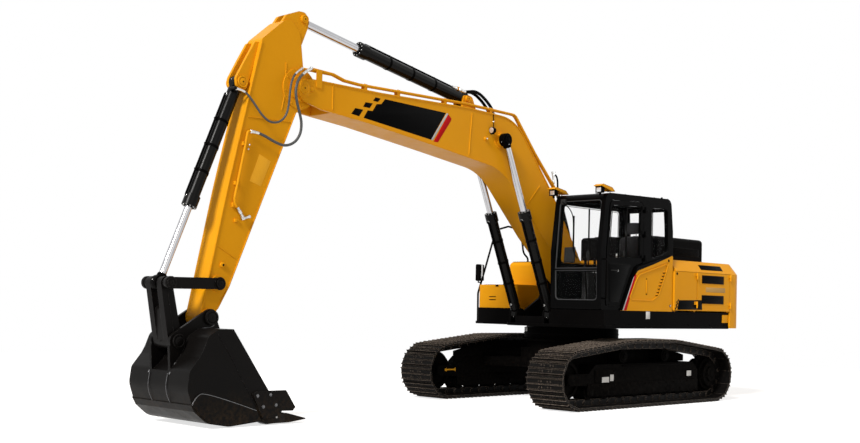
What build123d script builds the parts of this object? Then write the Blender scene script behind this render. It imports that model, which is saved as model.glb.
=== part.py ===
from build123d import *
import math
import os

os.makedirs("parts", exist_ok=True)

# Crawler excavator. Millimetres, X forward to the bucket, Y to the left (cab side), Z up.
# Every X below is measured from the swing axis; save() moves it into the part's frame,
# whose origin is the centre of the machine's outline on the ground.
SWING_X = -2145
GAP = 5  # running clearance between pieces that move past each other
SEAT = 0.3  # clearance between a moving piece and what it rests on or turns in

# Tracks
TRACK_GAUGE = 2380
SHOE_WIDTH = 600
WHEELBASE = 3445
SHOE_COUNT = 49
PITCH_R = 315  # pin circle at idler and sprocket
PIN_TO_TIP = 90  # pin line to grouser tip
PIN_TO_PLATE = 65  # pin line to the shoe plate's outer face
PIN_TO_UNDER = 40  # pin line to the shoe plate's inner face
LINK_HALF = 50  # half height of a chain link
RAIL_IN, RAIL_OUT = 45, 85  # the chain's two rails, across from the track's centre
CARRIER_R = 85
CARRIER_BEND = 400  # the chain's pin line bends this gently over a carrier roller
CARRIER_SAG = 12  # a straight link's middle lies this far inside that bend
CARRIER_X = (480, -560)
TRACK_TOP = 940  # grouser tips over the carrier rollers
CARRIER_Z = TRACK_TOP - PIN_TO_TIP - LINK_HALF - CARRIER_SAG - CARRIER_R
ROLLER_R = 78
ROLLER_COUNT = 8
ROLLER_SPAN = 2560
IDLER_R = 249
SPROCKET_TIP_R = 300
SPROCKET_ROOT_R = 262
SPROCKET_TEETH = 21

# Undercarriage frame
FRAME_HALF = 140  # half width of a track frame
FRAME_Z0, FRAME_Z1 = 320, 600
CARBODY_Z0, CARBODY_Z1 = 470, 760
# shackle holes run up through two lugs
TOW_EYE, TOW_Z, TOW_R, TOW_WALL, TOW_LUG = (700, 200), 520, 32, 45, 75
BEARING_R = 700
BEARING_Z0, BEARING_Z1 = 900, 1060

# House
DECK_Z0, DECK_Z1 = 1090, 1130
HOUSE_HALF = 1360
DECK_FRONT, DECK_REAR = 1040, -2240
TAIL_R = 2900
WEIGHT_Z0, WEIGHT_Z1 = 1100, 2106
WEIGHT_CORNER = 330
LIFT_X, LIFT_Y, LIFT_R, LIFT_DEPTH = -2480, 700, 18, 70  # threaded holes for lifting the counterweight

# Boom, arm and bucket pins in the parked pose, (x, z)
BOOM_FOOT = (50, 1760)
ARM_PIVOT = (5440, 3840)
ARM_TOP = (5363, 4680)
BUCKET_CYL_HEAD = (6225, 3812)
IDLER_PIN = (6520, 1535)
LINK_PIN = (7165, 1527)
BUCKET_LINK_PIN = (7040, 910)
BUCKET_PIN = (6630, 1162)
ARM_CYL_FOOT = (2500, 4150)
BOOM_CYL_FOOT = (900, 1250)
BOOM_CYL_EYE = (1950, 3640)

BOOM_HALF = 215
BOOM_PLATE = 25
EAR_IN = 185  # inner face of the boom's two ears at the arm pivot
ARM_HALF = 136
ARM_PLATE = 22
NOSE_HALF = 152  # half length of the arm's two hubs at the bucket end
BUCKET_HALF = 566
BUCKET_SIDE = 40
BUCKET_SHELL = 35

# Boom cylinders, arm cylinder and bucket cylinder: barrel radius, rod radius, eye radius,
# eye half width, pin radius, lengths from foot pin to gland and to the rod's inner end, piston's length
BOOM_CYL = dict(barrel=75, rod=45, eye=85, eye_half=42, pin=40, gland=1570, inner=900, piston=0)
ARM_CYL = dict(barrel=82, rod=50, eye=90, eye_half=50, pin=42, gland=1950, inner=960, piston=70)
BUCKET_CYL = dict(barrel=72, rod=42, eye=80, eye_half=48, pin=38, gland=1560, inner=790, piston=60)
BOOM_CYL_Y = 310

# Cab
CAB_IN, CAB_OUT = 430, 1300
CAB_REAR, CAB_FRONT = -700, 1045
CAB_FLOOR, CAB_ROOF = 1340, 2985
CAB_WALL = 45
GLASS = 8


def save(name, shape):
    """Writes one named piece, moved from the swing axis into the part's frame."""
    export_step(Location((SWING_X, 0, 0)) * shape, f"parts/{name}.step")


def face_xz(outline, y):
    """A face in the plane Y = y from corners (x, z, corner radius)."""
    points = [(c[0], y, c[1]) for c in outline]
    radii = [c[2] if len(c) > 2 else 0 for c in outline]
    if any(radii):
        return make_face(FilletPolyline(*points, radius=radii, close=True))
    return make_face(Polyline(*points, close=True))


def slab(outline, y0, y1):
    """A plate between Y = y0 and Y = y1 from corners (x, z, corner radius)."""
    return extrude(face_xz(outline, y0), amount=y1 - y0, dir=(0, 1, 0))


def plan(outline, z0, z1):
    """A block between Z = z0 and Z = z1 from corners (x, y, corner radius)."""
    points = [(c[0], c[1], z0) for c in outline]
    radii = [c[2] if len(c) > 2 else 0 for c in outline]
    line = FilletPolyline(*points, radius=radii, close=True) if any(radii) else Polyline(*points, close=True)
    return extrude(make_face(line), amount=z1 - z0, dir=(0, 0, 1))


def block(x0, x1, y0, y1, z0, z1):
    return Location(((x0 + x1) / 2, (y0 + y1) / 2, (z0 + z1) / 2)) * Box(x1 - x0, y1 - y0, z1 - z0)


def pin(at, radius, y0, y1):
    """A cylinder along Y at (x, z)."""
    return Solid.make_cylinder(radius, y1 - y0, Plane(origin=(at[0], y0, at[1]), z_dir=(0, 1, 0)))


def rod(a, b, radius):
    """A round bar from point a to point b."""
    start, end = Vector(*a), Vector(*b)
    return Solid.make_cylinder(radius, (end - start).length, Plane(origin=start, z_dir=end - start))


def tube(points, radius, bend=None):
    """A round pipe or hose along straight runs, joined by arcs of a given radius or the largest that fit."""
    bends = []
    for a, b, c in zip(points, points[1:], points[2:]):
        turn = math.radians((Vector(*b) - Vector(*a)).get_angle(Vector(*c) - Vector(*b)))
        widest = 0.45 * min(math.dist(a, b), math.dist(b, c)) / math.tan(turn / 2)
        bends.append(min(bend, widest) if bend else widest)
    path = FilletPolyline(*points, radius=bends)
    tubes = sweep(Plane(origin=path @ 0, z_dir=path % 0) * Circle(radius), path=path)
    return tubes, path.length, min(bends)


def both_sides(shape):
    return shape + mirror(shape, about=Plane.XZ)


def toward(a, b, distance):
    """The point in the XZ plane that lies at a distance from a towards b."""
    length = math.dist(a, b)
    return (a[0] + (b[0] - a[0]) * distance / length, a[1] + (b[1] - a[1]) * distance / length)


def strap(a, b, radius_a, radius_b, y0, y1):
    """A link plate round two pins: two discs and their common tangents."""
    length = math.dist(a, b)
    along = math.atan2(b[1] - a[1], b[0] - a[0])
    lean = math.acos((radius_a - radius_b) / length)
    corners = []
    for centre, radius, side in ((a, radius_a, 1), (b, radius_b, 1), (b, radius_b, -1), (a, radius_a, -1)):
        angle = along + side * lean
        corners.append((centre[0] + radius * math.cos(angle), centre[1] + radius * math.sin(angle)))
    return slab(corners, y0, y1) + pin(a, radius_a, y0, y1) + pin(b, radius_b, y0, y1)


# Track loop: pins on the belt line round sprocket, idler and the two carrier rollers

def belt_circles():
    bend_z = TRACK_TOP - PIN_TO_TIP - CARRIER_BEND
    wheel_z = PITCH_R + PIN_TO_TIP
    circles = [(WHEELBASE / 2, wheel_z, PITCH_R)]
    circles += [(x, bend_z, CARRIER_BEND) for x in CARRIER_X]
    circles.append((-WHEELBASE / 2, wheel_z, PITCH_R))
    return circles


def belt_points(count):
    """Evenly spaced points on the belt line, counter-clockwise seen with X right and Z up."""
    circles = belt_circles()
    normals = []
    for i, (x1, z1, r1) in enumerate(circles):
        x2, z2, r2 = circles[(i + 1) % len(circles)]
        distance = math.hypot(x2 - x1, z2 - z1)
        normals.append(math.atan2(z2 - z1, x2 - x1) - math.acos((r1 - r2) / distance))
    pieces = []
    for i, (x, z, r) in enumerate(circles):
        start, end = normals[i - 1], normals[i]
        sweep = (end - start) % (2 * math.pi)
        pieces.append(("arc", (x, z, r), start, sweep, r * sweep))
        x2, z2, r2 = circles[(i + 1) % len(circles)]
        p = (x + r * math.cos(end), z + r * math.sin(end))
        q = (x2 + r2 * math.cos(end), z2 + r2 * math.sin(end))
        pieces.append(("line", p, q, 0, math.dist(p, q)))
    total = sum(piece[4] for piece in pieces)
    points = []
    for k in range(count):
        s = total * k / count
        for kind, a, b, c, length in pieces:
            if s <= length:
                break
            s -= length
        if kind == "arc":
            angle = b + c * s / length
            points.append((a[0] + a[2] * math.cos(angle), a[1] + a[2] * math.sin(angle)))
        else:
            points.append((a[0] + (b[0] - a[0]) * s / length, a[1] + (b[1] - a[1]) * s / length))
    return points


# One shoe's outer profile: share of the pitch, height over the pin line
SHOE_PROFILE = (
    (0.01, PIN_TO_UNDER + 10),
    (0.04, PIN_TO_TIP),
    (0.12, PIN_TO_PLATE),
    (0.46, PIN_TO_PLATE),
    (0.50, PIN_TO_TIP),
    (0.54, PIN_TO_PLATE),
    (0.88, PIN_TO_PLATE),
    (0.96, PIN_TO_TIP),
    (0.99, PIN_TO_UNDER + 10),
)


def around(profile):
    """Repeats a profile of (share, height) on every link of the belt line."""
    pins = belt_points(SHOE_COUNT)
    corners = []
    for i, (x, z) in enumerate(pins):
        x2, z2 = pins[(i + 1) % SHOE_COUNT]
        length = math.hypot(x2 - x, z2 - z)
        tx, tz = (x2 - x) / length, (z2 - z) / length
        for share, height in profile:
            corners.append((x + tx * length * share + tz * height, z + tz * length * share - tx * height))
    return corners


def ring(outer, inner, y0, y1):
    face = face_xz(around(outer), y0) - face_xz(around(inner), y0)
    return extrude(face, amount=y1 - y0, dir=(0, 1, 0))


def track(y):
    loop = ring(SHOE_PROFILE, ((0, PIN_TO_UNDER),), y - SHOE_WIDTH / 2, y + SHOE_WIDTH / 2)
    for side in (-1, 1):
        near, far = sorted((y + side * RAIL_IN, y + side * RAIL_OUT))
        loop = loop + ring(((0, PIN_TO_UNDER + 5),), ((0.1, -LINK_HALF), (0.9, -LINK_HALF)), near, far)
    return loop


def roller(x, z, y, radius, flange):
    """A roller with two flanges outside the chain's rails and its axle."""
    body = pin((x, z), radius, y - RAIL_OUT - 3, y + RAIL_OUT + 3)
    for side in (-1, 1):
        near, far = sorted((y + side * (RAIL_OUT + 3), y + side * (RAIL_OUT + 15)))
        body = body + pin((x, z), flange, near, far)
    return body + pin((x, z), 35, y - FRAME_HALF + 5, y + FRAME_HALF - 5)


def rollers(y):
    bottom = PIN_TO_TIP + LINK_HALF + ROLLER_R + SEAT
    pieces = []
    for i in range(ROLLER_COUNT):
        x = -ROLLER_SPAN / 2 + ROLLER_SPAN * i / (ROLLER_COUNT - 1)
        pieces.append(roller(x, bottom, y, ROLLER_R, ROLLER_R + 16))
    for x in CARRIER_X:
        pieces.append(roller(x, CARRIER_Z, y, CARRIER_R, CARRIER_R + 12))
    return Compound(children=pieces)


def idler(y):
    x, z = WHEELBASE / 2, PITCH_R + PIN_TO_TIP
    wheel = pin((x, z), IDLER_R, y - RAIL_OUT, y + RAIL_OUT)
    for side in (-1, 1):
        near, far = sorted((y + side * (RAIL_OUT - 30), y + side * RAIL_OUT))
        wheel = wheel - (pin((x, z), IDLER_R - 40, near, far) - pin((x, z), 90, near, far))
    wheel = wheel + pin((x, z), IDLER_R + 32, y - RAIL_IN + 6, y + RAIL_IN - 6)
    return wheel + pin((x, z), 50, y - FRAME_HALF, y + FRAME_HALF)


def sprocket(y, side):
    """Toothed wheel with the drive's drum outside it and the motor inside it."""
    x, z = -WHEELBASE / 2, PITCH_R + PIN_TO_TIP
    corners = []
    for i in range(SPROCKET_TEETH):
        for share, radius in ((0.0, SPROCKET_ROOT_R), (0.3, SPROCKET_ROOT_R), (0.5, SPROCKET_TIP_R),
                              (0.8, SPROCKET_TIP_R)):
            angle = 2 * math.pi * (i + share) / SPROCKET_TEETH
            corners.append((x + radius * math.cos(angle), z + radius * math.sin(angle)))
    wheel = slab(corners, y - RAIL_IN + 12, y + RAIL_IN - 12)
    for radius, near, far in ((235, 0, 95), (190, 95, 150), (110, 150, 175)):
        a, b = sorted((y + side * near, y + side * far))
        wheel = wheel + pin((x, z), radius, a, b)
    a, b = sorted((y, y - side * (FRAME_HALF + 90)))
    return wheel + pin((x, z), 150, a, b)


def track_frame(y, side):
    """Box beam with roller brackets, idler yoke in front and the drive's flange behind."""
    x_idler, z_wheel = WHEELBASE / 2, PITCH_R + PIN_TO_TIP
    beam = slab(
        [(-1380, FRAME_Z0), (1330, FRAME_Z0), (1330, FRAME_Z1 - 120), (1180, FRAME_Z1), (-1240, FRAME_Z1),
         (-1380, FRAME_Z1 - 120)],
        y - FRAME_HALF, y + FRAME_HALF)
    for s in (-1, 1):
        near, far = sorted((y + s * (RAIL_OUT + 20), y + s * FRAME_HALF))
        yoke = slab([(1320, FRAME_Z0), (x_idler + 70, 330, 30), (x_idler + 70, 480, 30),
                     (1320, FRAME_Z1 - 120)], near, far)
        beam = beam + (yoke - pin((x_idler, z_wheel), 51, near, far))
    near, far = sorted((y - side * (RAIL_OUT + 15), y - side * FRAME_HALF))
    flange = slab([(-1370, FRAME_Z0), (-1370, FRAME_Z1 - 120), (-WHEELBASE / 2 + 60, 620, 60),
                   (-WHEELBASE / 2 + 60, 190, 60)], near, far)
    flange = flange + pin((-WHEELBASE / 2, z_wheel), 225, near, far)
    beam = beam + (flange - pin((-WHEELBASE / 2, z_wheel), 151, near, far))
    bottom = PIN_TO_TIP + LINK_HALF + ROLLER_R + SEAT
    for i in range(ROLLER_COUNT):
        x = -ROLLER_SPAN / 2 + ROLLER_SPAN * i / (ROLLER_COUNT - 1)
        for s in (-1, 1):
            near, far = sorted((y + s * (RAIL_OUT + 20), y + s * FRAME_HALF))
            beam = beam + (slab([(x - 60, FRAME_Z0), (x - 45, bottom - 45), (x + 45, bottom - 45),
                                 (x + 60, FRAME_Z0)], near, far)
                           - pin((x, bottom), 36, near, far))
    for x in CARRIER_X:
        near, far = sorted((y - side * (RAIL_OUT + 20), y - side * FRAME_HALF))
        post = slab([(x - 70, FRAME_Z1 - 5), (x - 45, CARRIER_Z + 45, 30), (x + 45, CARRIER_Z + 45, 30),
                     (x + 70, FRAME_Z1 - 5)], near, far)
        beam = beam + (post - pin((x, CARRIER_Z), 36, near, far))
    return beam


def carbody():
    """X-shaped centre frame between the track frames, with the bearing's tower."""
    edge = TRACK_GAUGE / 2 - FRAME_HALF
    quarter = [(820, edge), (430, edge), (260, 620)]
    corners = quarter + [(-x, y) for x, y in reversed(quarter)] + [(-560, 430)]
    corners += [(-560, -430)] + [(-x, -y) for x, y in quarter]
    corners += [(x, -y) for x, y in reversed(quarter)] + [(560, -430), (560, 430)]
    body = plan(corners, CARBODY_Z0, CARBODY_Z1 - 160)
    body = body + plan([(620, 520, 120), (-620, 520, 120), (-620, -520, 120), (620, -520, 120)], CARBODY_Z0,
                       CARBODY_Z1)
    tower = (Location((0, 0, (CARBODY_Z1 + BEARING_Z0) / 2 - 40))
             * Cylinder(BEARING_R - 40, BEARING_Z0 - CARBODY_Z1 + 80))
    x, y = TOW_EYE
    tip = x + TOW_LUG
    round_off = TOW_LUG - 5
    lug = plan([(600, y - TOW_LUG), (tip, y - TOW_LUG, round_off), (tip, y + TOW_LUG, round_off),
                (600, y + TOW_LUG)], TOW_Z, TOW_Z + TOW_WALL)
    lug = lug - Solid.make_cylinder(TOW_R, TOW_WALL, Plane(origin=(x, y, TOW_Z), z_dir=(0, 0, 1)))
    return body + tower + both_sides(lug)


for name, y, side in (("left", TRACK_GAUGE / 2, 1), ("right", -TRACK_GAUGE / 2, -1)):
    save(f"track_{name}", track(y))
    save(f"rollers_{name}", rollers(y))
    save(f"idler_{name}", idler(y))
    save(f"sprocket_{name}", sprocket(y, side))
    save(f"track_frame_{name}", track_frame(y, side))
save("carbody", carbody())
bearing_height = BEARING_Z1 - BEARING_Z0
bearing = Cylinder(BEARING_R, bearing_height) - Cylinder(BEARING_R - 160, bearing_height)
save("swing_bearing", Location((0, 0, (BEARING_Z0 + BEARING_Z1) / 2)) * bearing)


# House: deck with the boom's webs, engine bay, tanks and counterweight

WEB_IN, WEB_OUT = 235, 268
BRACKET_IN, BRACKET_OUT = 357, 387
RAIL_TOP = 1190  # the webs' rear ends, which carry the engine
BAY_FRONT = -715
BAY_TOP = 2106
SHOULDER_Z, SHOULDER_IN = 1938, 125  # the side walls slope in from this height to the bay's roof
BAY_WALL = 25
RIGHT_IN = -590
TOOL_FRONT, TOOL_REAR, TOOL_TOP = 600, -95, 1690
FUEL_REAR, FUEL_TOP = -820, 2070
OIL_REAR, OIL_TOP = -1270, 2000
HOOD = dict(x0=-2210, x1=-900, y0=-560, y1=890, top=2480)
HOOD_HINGE = (-2219, WEIGHT_Z1 + 26)
HOOD_HINGE_Y = 250
HOOD_RIBS = 5
LID_HINGE = (-86, TOOL_TOP + 10)
SEAM_1, SEAM_2 = -1280, -2230  # rear edges of the two left doors
FRONT_HINGE_X = SEAM_1 + 14  # the front door's hinges stand ahead of the seam, clear of the rear door's swing
DOOR_T = 40
DOOR_Z0, DOOR_Z1 = 1360, SHOULDER_Z - GAP
SKIRT = 75  # thickness of the deck's side skirts


def skirt():
    """Side skirt of the deck below the left doors."""
    return block(DECK_REAR, CAB_REAR, HOUSE_HALF - 25 - SKIRT, HOUSE_HALF - 25, DECK_Z1, CAB_FLOOR)


RAIL_Y, RAIL_R = -HOUSE_HALF - 25, 15
RAIL_FOOT = (567, -1290)  # x of the front foot on the deck's edge, y of the rear foot on the fuel tank
HANDRAIL = ((573, 1560), (438, 1896), (185, 2560), (-114, 2637), (-420, 2600), (-500, 2230))
MIRROR_Z0, MIRROR_Z1 = 1748, 2010
MIRROR_WIDTH, MIRROR_DEPTH = 80, 45


def handrail():
    """Bent tube rail beside the tool box and fuel tank, with the mirror on its front leg."""
    foot_x, foot_y = RAIL_FOOT
    points = [(foot_x, RAIL_Y, DECK_Z1 - 5)] + [(x, RAIL_Y, z) for x, z in HANDRAIL]
    x = HANDRAIL[-1][0]
    points += [(x, foot_y, FUEL_TOP + 75), (x, foot_y, FUEL_TOP + SEAT)]
    rail = tube(points, RAIL_R, 110)[0]
    rail = rail + block(foot_x - 30, foot_x + 30, RAIL_Y - RAIL_R, -HOUSE_HALF + 45, DECK_Z0, DECK_Z1)
    x, y = 505, RAIL_Y - 61
    stem = (rod((x, RAIL_Y, MIRROR_Z0 - 20), (x, y, MIRROR_Z0 - 20), 9)
            + rod((x, y, MIRROR_Z0 - 29), (x, y, MIRROR_Z0 + 10), 9))
    head = block(x - MIRROR_DEPTH / 2, x + MIRROR_DEPTH / 2, y - MIRROR_WIDTH / 2, y + MIRROR_WIDTH / 2,
                 MIRROR_Z0, MIRROR_Z1)
    return rail + stem + fillet(head.edges().filter_by(Axis.X), 25)


def main_frame():
    deck = plan([(DECK_FRONT, HOUSE_HALF - 20, 60), (DECK_REAR, HOUSE_HALF - 20),
                 (DECK_REAR, -HOUSE_HALF + 20),
                 (TOOL_FRONT, -HOUSE_HALF + 20, 60), (TOOL_FRONT, -450), (DECK_FRONT, -400, 60)], DECK_Z0,
                 DECK_Z1)
    ring_z = BEARING_Z1 + 0.3
    ring_seat = Location((0, 0, (ring_z + DECK_Z0) / 2)) * Cylinder(BEARING_R - 30, DECK_Z0 - ring_z)
    web = slab([(-2100, DECK_Z1), (-2100, RAIL_TOP), (BAY_FRONT + 20, RAIL_TOP), (BAY_FRONT + 20, 1600, 60),
                (-120, 1890, 60), (BOOM_FOOT[0] + 60, 1900, 100),
                (260, 1830, 80), (470, 1500, 80), (810, 1310, 60), (985, 1240), (985, DECK_Z1)], WEB_IN,
                WEB_OUT)
    web = web + pin(BOOM_CYL_FOOT, 90, WEB_IN, WEB_OUT)
    ear = slab([(660, DECK_Z1), (812, 1265), (985, 1240), (985, DECK_Z1)], BRACKET_IN, BRACKET_OUT)
    ear = ear + pin(BOOM_CYL_FOOT, 90, BRACKET_IN, BRACKET_OUT)
    ends = both_sides(web + ear)
    cross = block(-1500, -1460, -WEB_IN, WEB_IN, DECK_Z1, RAIL_TOP)
    nose = block(940, 980, -WEB_IN, WEB_IN, DECK_Z1, 1230)
    foot_pin = pin(BOOM_FOOT, 50, -WEB_OUT - 25, WEB_OUT + 25)
    cyl_pins = both_sides(pin(BOOM_CYL_FOOT, BOOM_CYL["pin"], WEB_IN, BRACKET_OUT + 15))
    sill = block(CAB_REAR, DECK_FRONT - 20, CAB_IN - 15, HOUSE_HALF - 25, DECK_Z1, CAB_FLOOR)
    return deck + ring_seat + ends + cross + nose + foot_pin + cyl_pins + sill + skirt() + handrail()


def counterweight():
    half = HOUSE_HALF
    corner = -math.sqrt(TAIL_R**2 - half**2)
    sides = [(DECK_REAR, -half, WEIGHT_Z0), (corner, -half, WEIGHT_Z0), (corner, half, WEIGHT_Z0),
             (DECK_REAR, half, WEIGHT_Z0)]
    tail = Edge.make_three_point_arc(sides[1], (-TAIL_R, 0, WEIGHT_Z0), sides[2])
    outline = [Edge.make_line(sides[0], sides[1]), tail, Edge.make_line(sides[2], sides[3]),
               Edge.make_line(sides[3], sides[0])]
    body = extrude(make_face(Wire(outline)), amount=WEIGHT_Z1 - WEIGHT_Z0, dir=(0, 0, 1))
    corners = body.edges().filter_by(Axis.Z).filter_by(lambda e: e.center().X < DECK_REAR - 20)
    body = fillet(corners, WEIGHT_CORNER)
    rear = body.edges().filter_by(lambda e: e.center().X < DECK_REAR - 20)
    top = rear.filter_by(lambda e: abs(e.center().Z - WEIGHT_Z1) < 1)
    bottom = rear.filter_by(lambda e: abs(e.center().Z - WEIGHT_Z0) < 1)
    body = fillet(bottom, 80)
    body = chamfer(top, WEIGHT_Z1 - SHOULDER_Z, SHOULDER_IN)
    for y in (-LIFT_Y, LIFT_Y):
        body = body - Solid.make_cylinder(LIFT_R, LIFT_DEPTH,
                                          Plane(origin=(LIFT_X, y, WEIGHT_Z1 - LIFT_DEPTH), z_dir=(0, 0, 1)))
    return body


def bay():
    """Walls round the engine: firewall, left posts and rails, right wall and roof with the hood's opening."""
    y1 = HOUSE_HALF - DOOR_T - SEAT
    y0 = RIGHT_IN + 20
    walls = block(BAY_FRONT - BAY_WALL, BAY_FRONT, y0, y1, DECK_Z1, BAY_TOP)
    walls = walls + block(DECK_REAR, BAY_FRONT, y0, y0 + BAY_WALL, DECK_Z1, BAY_TOP)
    walls = walls - both_sides(block(BAY_FRONT - 100, BAY_FRONT + 50, WEB_IN - 3, WEB_OUT + 3, DECK_Z1,
                                     RAIL_TOP + 10))
    for x in (BAY_FRONT - 45, SEAM_1 - 20, DECK_REAR):
        walls = walls + block(x, x + 45, y1 - 60, y1, DECK_Z1, BAY_TOP)
    walls = walls - skirt()
    roof = block(DECK_REAR, BAY_FRONT, y0, HOUSE_HALF - SHOULDER_IN, BAY_TOP - BAY_WALL, BAY_TOP)
    roof = roof - block(HOOD["x0"] + 60, HOOD["x1"] - 60, HOOD["y0"] + 60, HOOD["y1"] - 60, BAY_TOP - 50,
                        BAY_TOP + 10)
    return walls + roof + shoulder(DECK_REAR, BAY_FRONT, 1) - above_shoulder(DECK_REAR, BAY_FRONT, 1)


def across(outline, x0, x1):
    """A bar between X = x0 and X = x1 from corners (y, z)."""
    return extrude(make_face(Polyline(*[(x0, y, z) for y, z in outline], close=True)), amount=x1 - x0,
                   dir=(1, 0, 0))


def shoulder(x0, x1, side):
    """The sloping plate between a side wall and the roof."""
    line = [(HOUSE_HALF, SHOULDER_Z), (HOUSE_HALF - SHOULDER_IN, BAY_TOP)]
    line += [(y - BAY_WALL * 1.3, z) for y, z in reversed(line)]
    return across([(side * y, z) for y, z in line], x0, x1)


def above_shoulder(x0, x1, side):
    """The space outside the sloping plate, cut away from what meets it."""
    line = [(HOUSE_HALF, SHOULDER_Z), (HOUSE_HALF - SHOULDER_IN, BAY_TOP),
            (HOUSE_HALF - SHOULDER_IN, BAY_TOP + 100), (HOUSE_HALF + 100, BAY_TOP + 100),
            (HOUSE_HALF + 100, SHOULDER_Z)]
    return across([(side * y, z) for y, z in line], x0 - 1, x1 + 1)


def hollow_cover(x0, x1, y0, y1, z0, z1, wall, radius):
    """An upturned tray with rounded upper edges."""
    outer = block(x0, x1, y0, y1, z0, z1)
    upper = outer.edges().filter_by(lambda e: e.center().Z > z0 + 1)
    outer = fillet(upper, radius)
    inner = block(x0 + wall, x1 - wall, y0 + wall, y1 - wall, z0 - 10, z1 - wall)
    rounded = inner.edges().filter_by(lambda e: e.center().Z > z0 + 1)
    return outer - fillet(rounded, max(radius - wall, 5))


def side_door(x0, x1, y, side, z0, z1):
    """A closed outer panel, shown by its full thickness, with a rounded upper edge."""
    near, far = sorted((y, y - side * DOOR_T))
    door = block(x0 + GAP, x1 - GAP, near, far, z0, z1)
    return door


HINGE_R = 12
SIDE_HINGE_Y = HOUSE_HALF + 16  # side doors' hinge axes stand out past the panels
SIDE_HINGE_Z = (1450, 1880)


def knuckle(x, y, z, length, radius=13):
    return Solid.make_cylinder(radius, length, Plane(origin=(x, y, z), z_dir=(0, 0, 1)))


def door_hinges(door, x, side, levels):
    """Adds each hinge's upper knuckle and leaf to a side door that turns about (x, side * SIDE_HINGE_Y)."""
    for z in levels:
        near, far = sorted((side * (HOUSE_HALF - 1), side * (HOUSE_HALF + 6)))
        door = door + block(x + 7, x + 55, near, far, z, z + 50)
        near, far = sorted((side * (HOUSE_HALF + 1), side * (HOUSE_HALF + 13)))
        door = door + block(x + 5, x + 12, near, far, z, z + 50)
        door = door + knuckle(x, side * SIDE_HINGE_Y, z, 50, HINGE_R)
    return door


def post_hinges(post, seam, x, side, levels):
    """Adds each hinge's lower knuckle at x to a fixed post, on an arm out through the panels' seam."""
    for z in levels:
        near, far = sorted((side * (HOUSE_HALF - DOOR_T - 5), side * SIDE_HINGE_Y))
        post = post + block(seam - 3, seam + 3, near, far, z - 50, z - SEAT)
        if x != seam:
            near, far = sorted((side * (HOUSE_HALF + 5), side * SIDE_HINGE_Y))
            post = post + block(seam - 3, x, near, far, z - 50, z - SEAT)
        post = post + knuckle(x, side * SIDE_HINGE_Y, z - 50, 50 - SEAT, HINGE_R)
    return post


SIDE_PANEL = ((-655, CAB_FLOOR, 0), (-655, 2165, 30), (-560, 2140, 0), (230, 1960, 60), (345, 1800, 30),
              (590, CAB_FLOOR, 0))
PANEL_RECESS = ((420, 1490, 30), (-137, 1490, 60), (-297, 1567, 60), (-486, 1914, 40), (-545, 2050, 20),
                (-480, 2055, 20), (215, 1880, 40), (315, 1760, 20))
LATCH_RECESS = ((-18, 1570, 10), (18, 1570, 10), (18, 1805, 10), (-18, 1805, 10))
LOUVRE_TOP, LOUVRE_BOTTOM, LOUVRE_COUNT = (-440, 1900), (-262, 1568), 8


def left_side_panel():
    """Yellow panel behind the cab door, with a shallow pressed field, a latch pocket and slanted louvres."""
    face = HOUSE_HALF - 25
    panel = slab(SIDE_PANEL, CAB_OUT + SEAT, face)
    panel = panel - slab(PANEL_RECESS, face - 8, face + 1) - slab(LATCH_RECESS, face - 20, face + 1)
    for i in range(LOUVRE_COUNT):
        share = i / (LOUVRE_COUNT - 1)
        x = LOUVRE_TOP[0] + (LOUVRE_BOTTOM[0] - LOUVRE_TOP[0]) * share
        z = LOUVRE_TOP[1] + (LOUVRE_BOTTOM[1] - LOUVRE_TOP[1]) * share
        panel = panel - slab([(x - 32, z - 6), (x + 28, z - 14), (x + 32, z + 10), (x - 28, z + 18)],
                             face - 22, face + 1)
    return panel


save("left_side_panel", left_side_panel())
save("main_frame", main_frame())
save("counterweight", counterweight())
engine_bay = post_hinges(bay(), SEAM_1, FRONT_HINGE_X, 1, SIDE_HINGE_Z)
engine_bay = post_hinges(engine_bay, SEAM_2, SEAM_2, 1, SIDE_HINGE_Z)
for y in (HOOD_HINGE_Y, -HOOD_HINGE_Y):
    engine_bay = engine_bay + block(HOOD_HINGE[0] - 14, HOOD_HINGE[0] + 2, y - 30, y - SEAT,
                                    BAY_TOP - BAY_WALL, HOOD_HINGE[1])
    engine_bay = engine_bay + pin(HOOD_HINGE, 8, y - 30, y - SEAT)
save("engine_bay", engine_bay)
save("engine_block", block(-2080, -1180, -420, 380, RAIL_TOP, 1900))
save("radiator", block(-2160, -1300, 560, 760, DECK_Z1, 1930))
hood = hollow_cover(HOOD["x0"], HOOD["x1"], HOOD["y0"], HOOD["y1"], BAY_TOP + SEAT, HOOD["top"], 20, 60)
for i in range(HOOD_RIBS):
    y = HOOD["y0"] + (HOOD["y1"] - HOOD["y0"]) * (i + 1) / (HOOD_RIBS + 1)
    hood = hood + block(HOOD["x0"] + 120, HOOD["x1"] - 120, y - 35, y + 35, HOOD["top"] - 5, HOOD["top"] + 14)
for y in (HOOD_HINGE_Y, -HOOD_HINGE_Y):
    hood = hood + block(HOOD_HINGE[0], HOOD["x0"] + 5, y, y + 30, HOOD_HINGE[1] - 6, HOOD_HINGE[1] + 6)
    hood = hood + pin(HOOD_HINGE, 8, y, y + 30)
save("engine_hood", hood)
front_door = side_door(SEAM_1, BAY_FRONT + 45, HOUSE_HALF, 1, DOOR_Z0, DOOR_Z1)
save("left_front_door", door_hinges(front_door, FRONT_HINGE_X, 1, SIDE_HINGE_Z))
rear_door = side_door(SEAM_2, SEAM_1 - 7, HOUSE_HALF, 1, DOOR_Z0, DOOR_Z1)
save("left_rear_door", door_hinges(rear_door, SEAM_2, 1, SIDE_HINGE_Z))
pump_door = side_door(SEAM_2, OIL_REAR, -HOUSE_HALF, -1, DOOR_Z0 - 200, DOOR_Z1)
save("right_pump_door", door_hinges(pump_door, SEAM_2, -1, SIDE_HINGE_Z))
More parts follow.
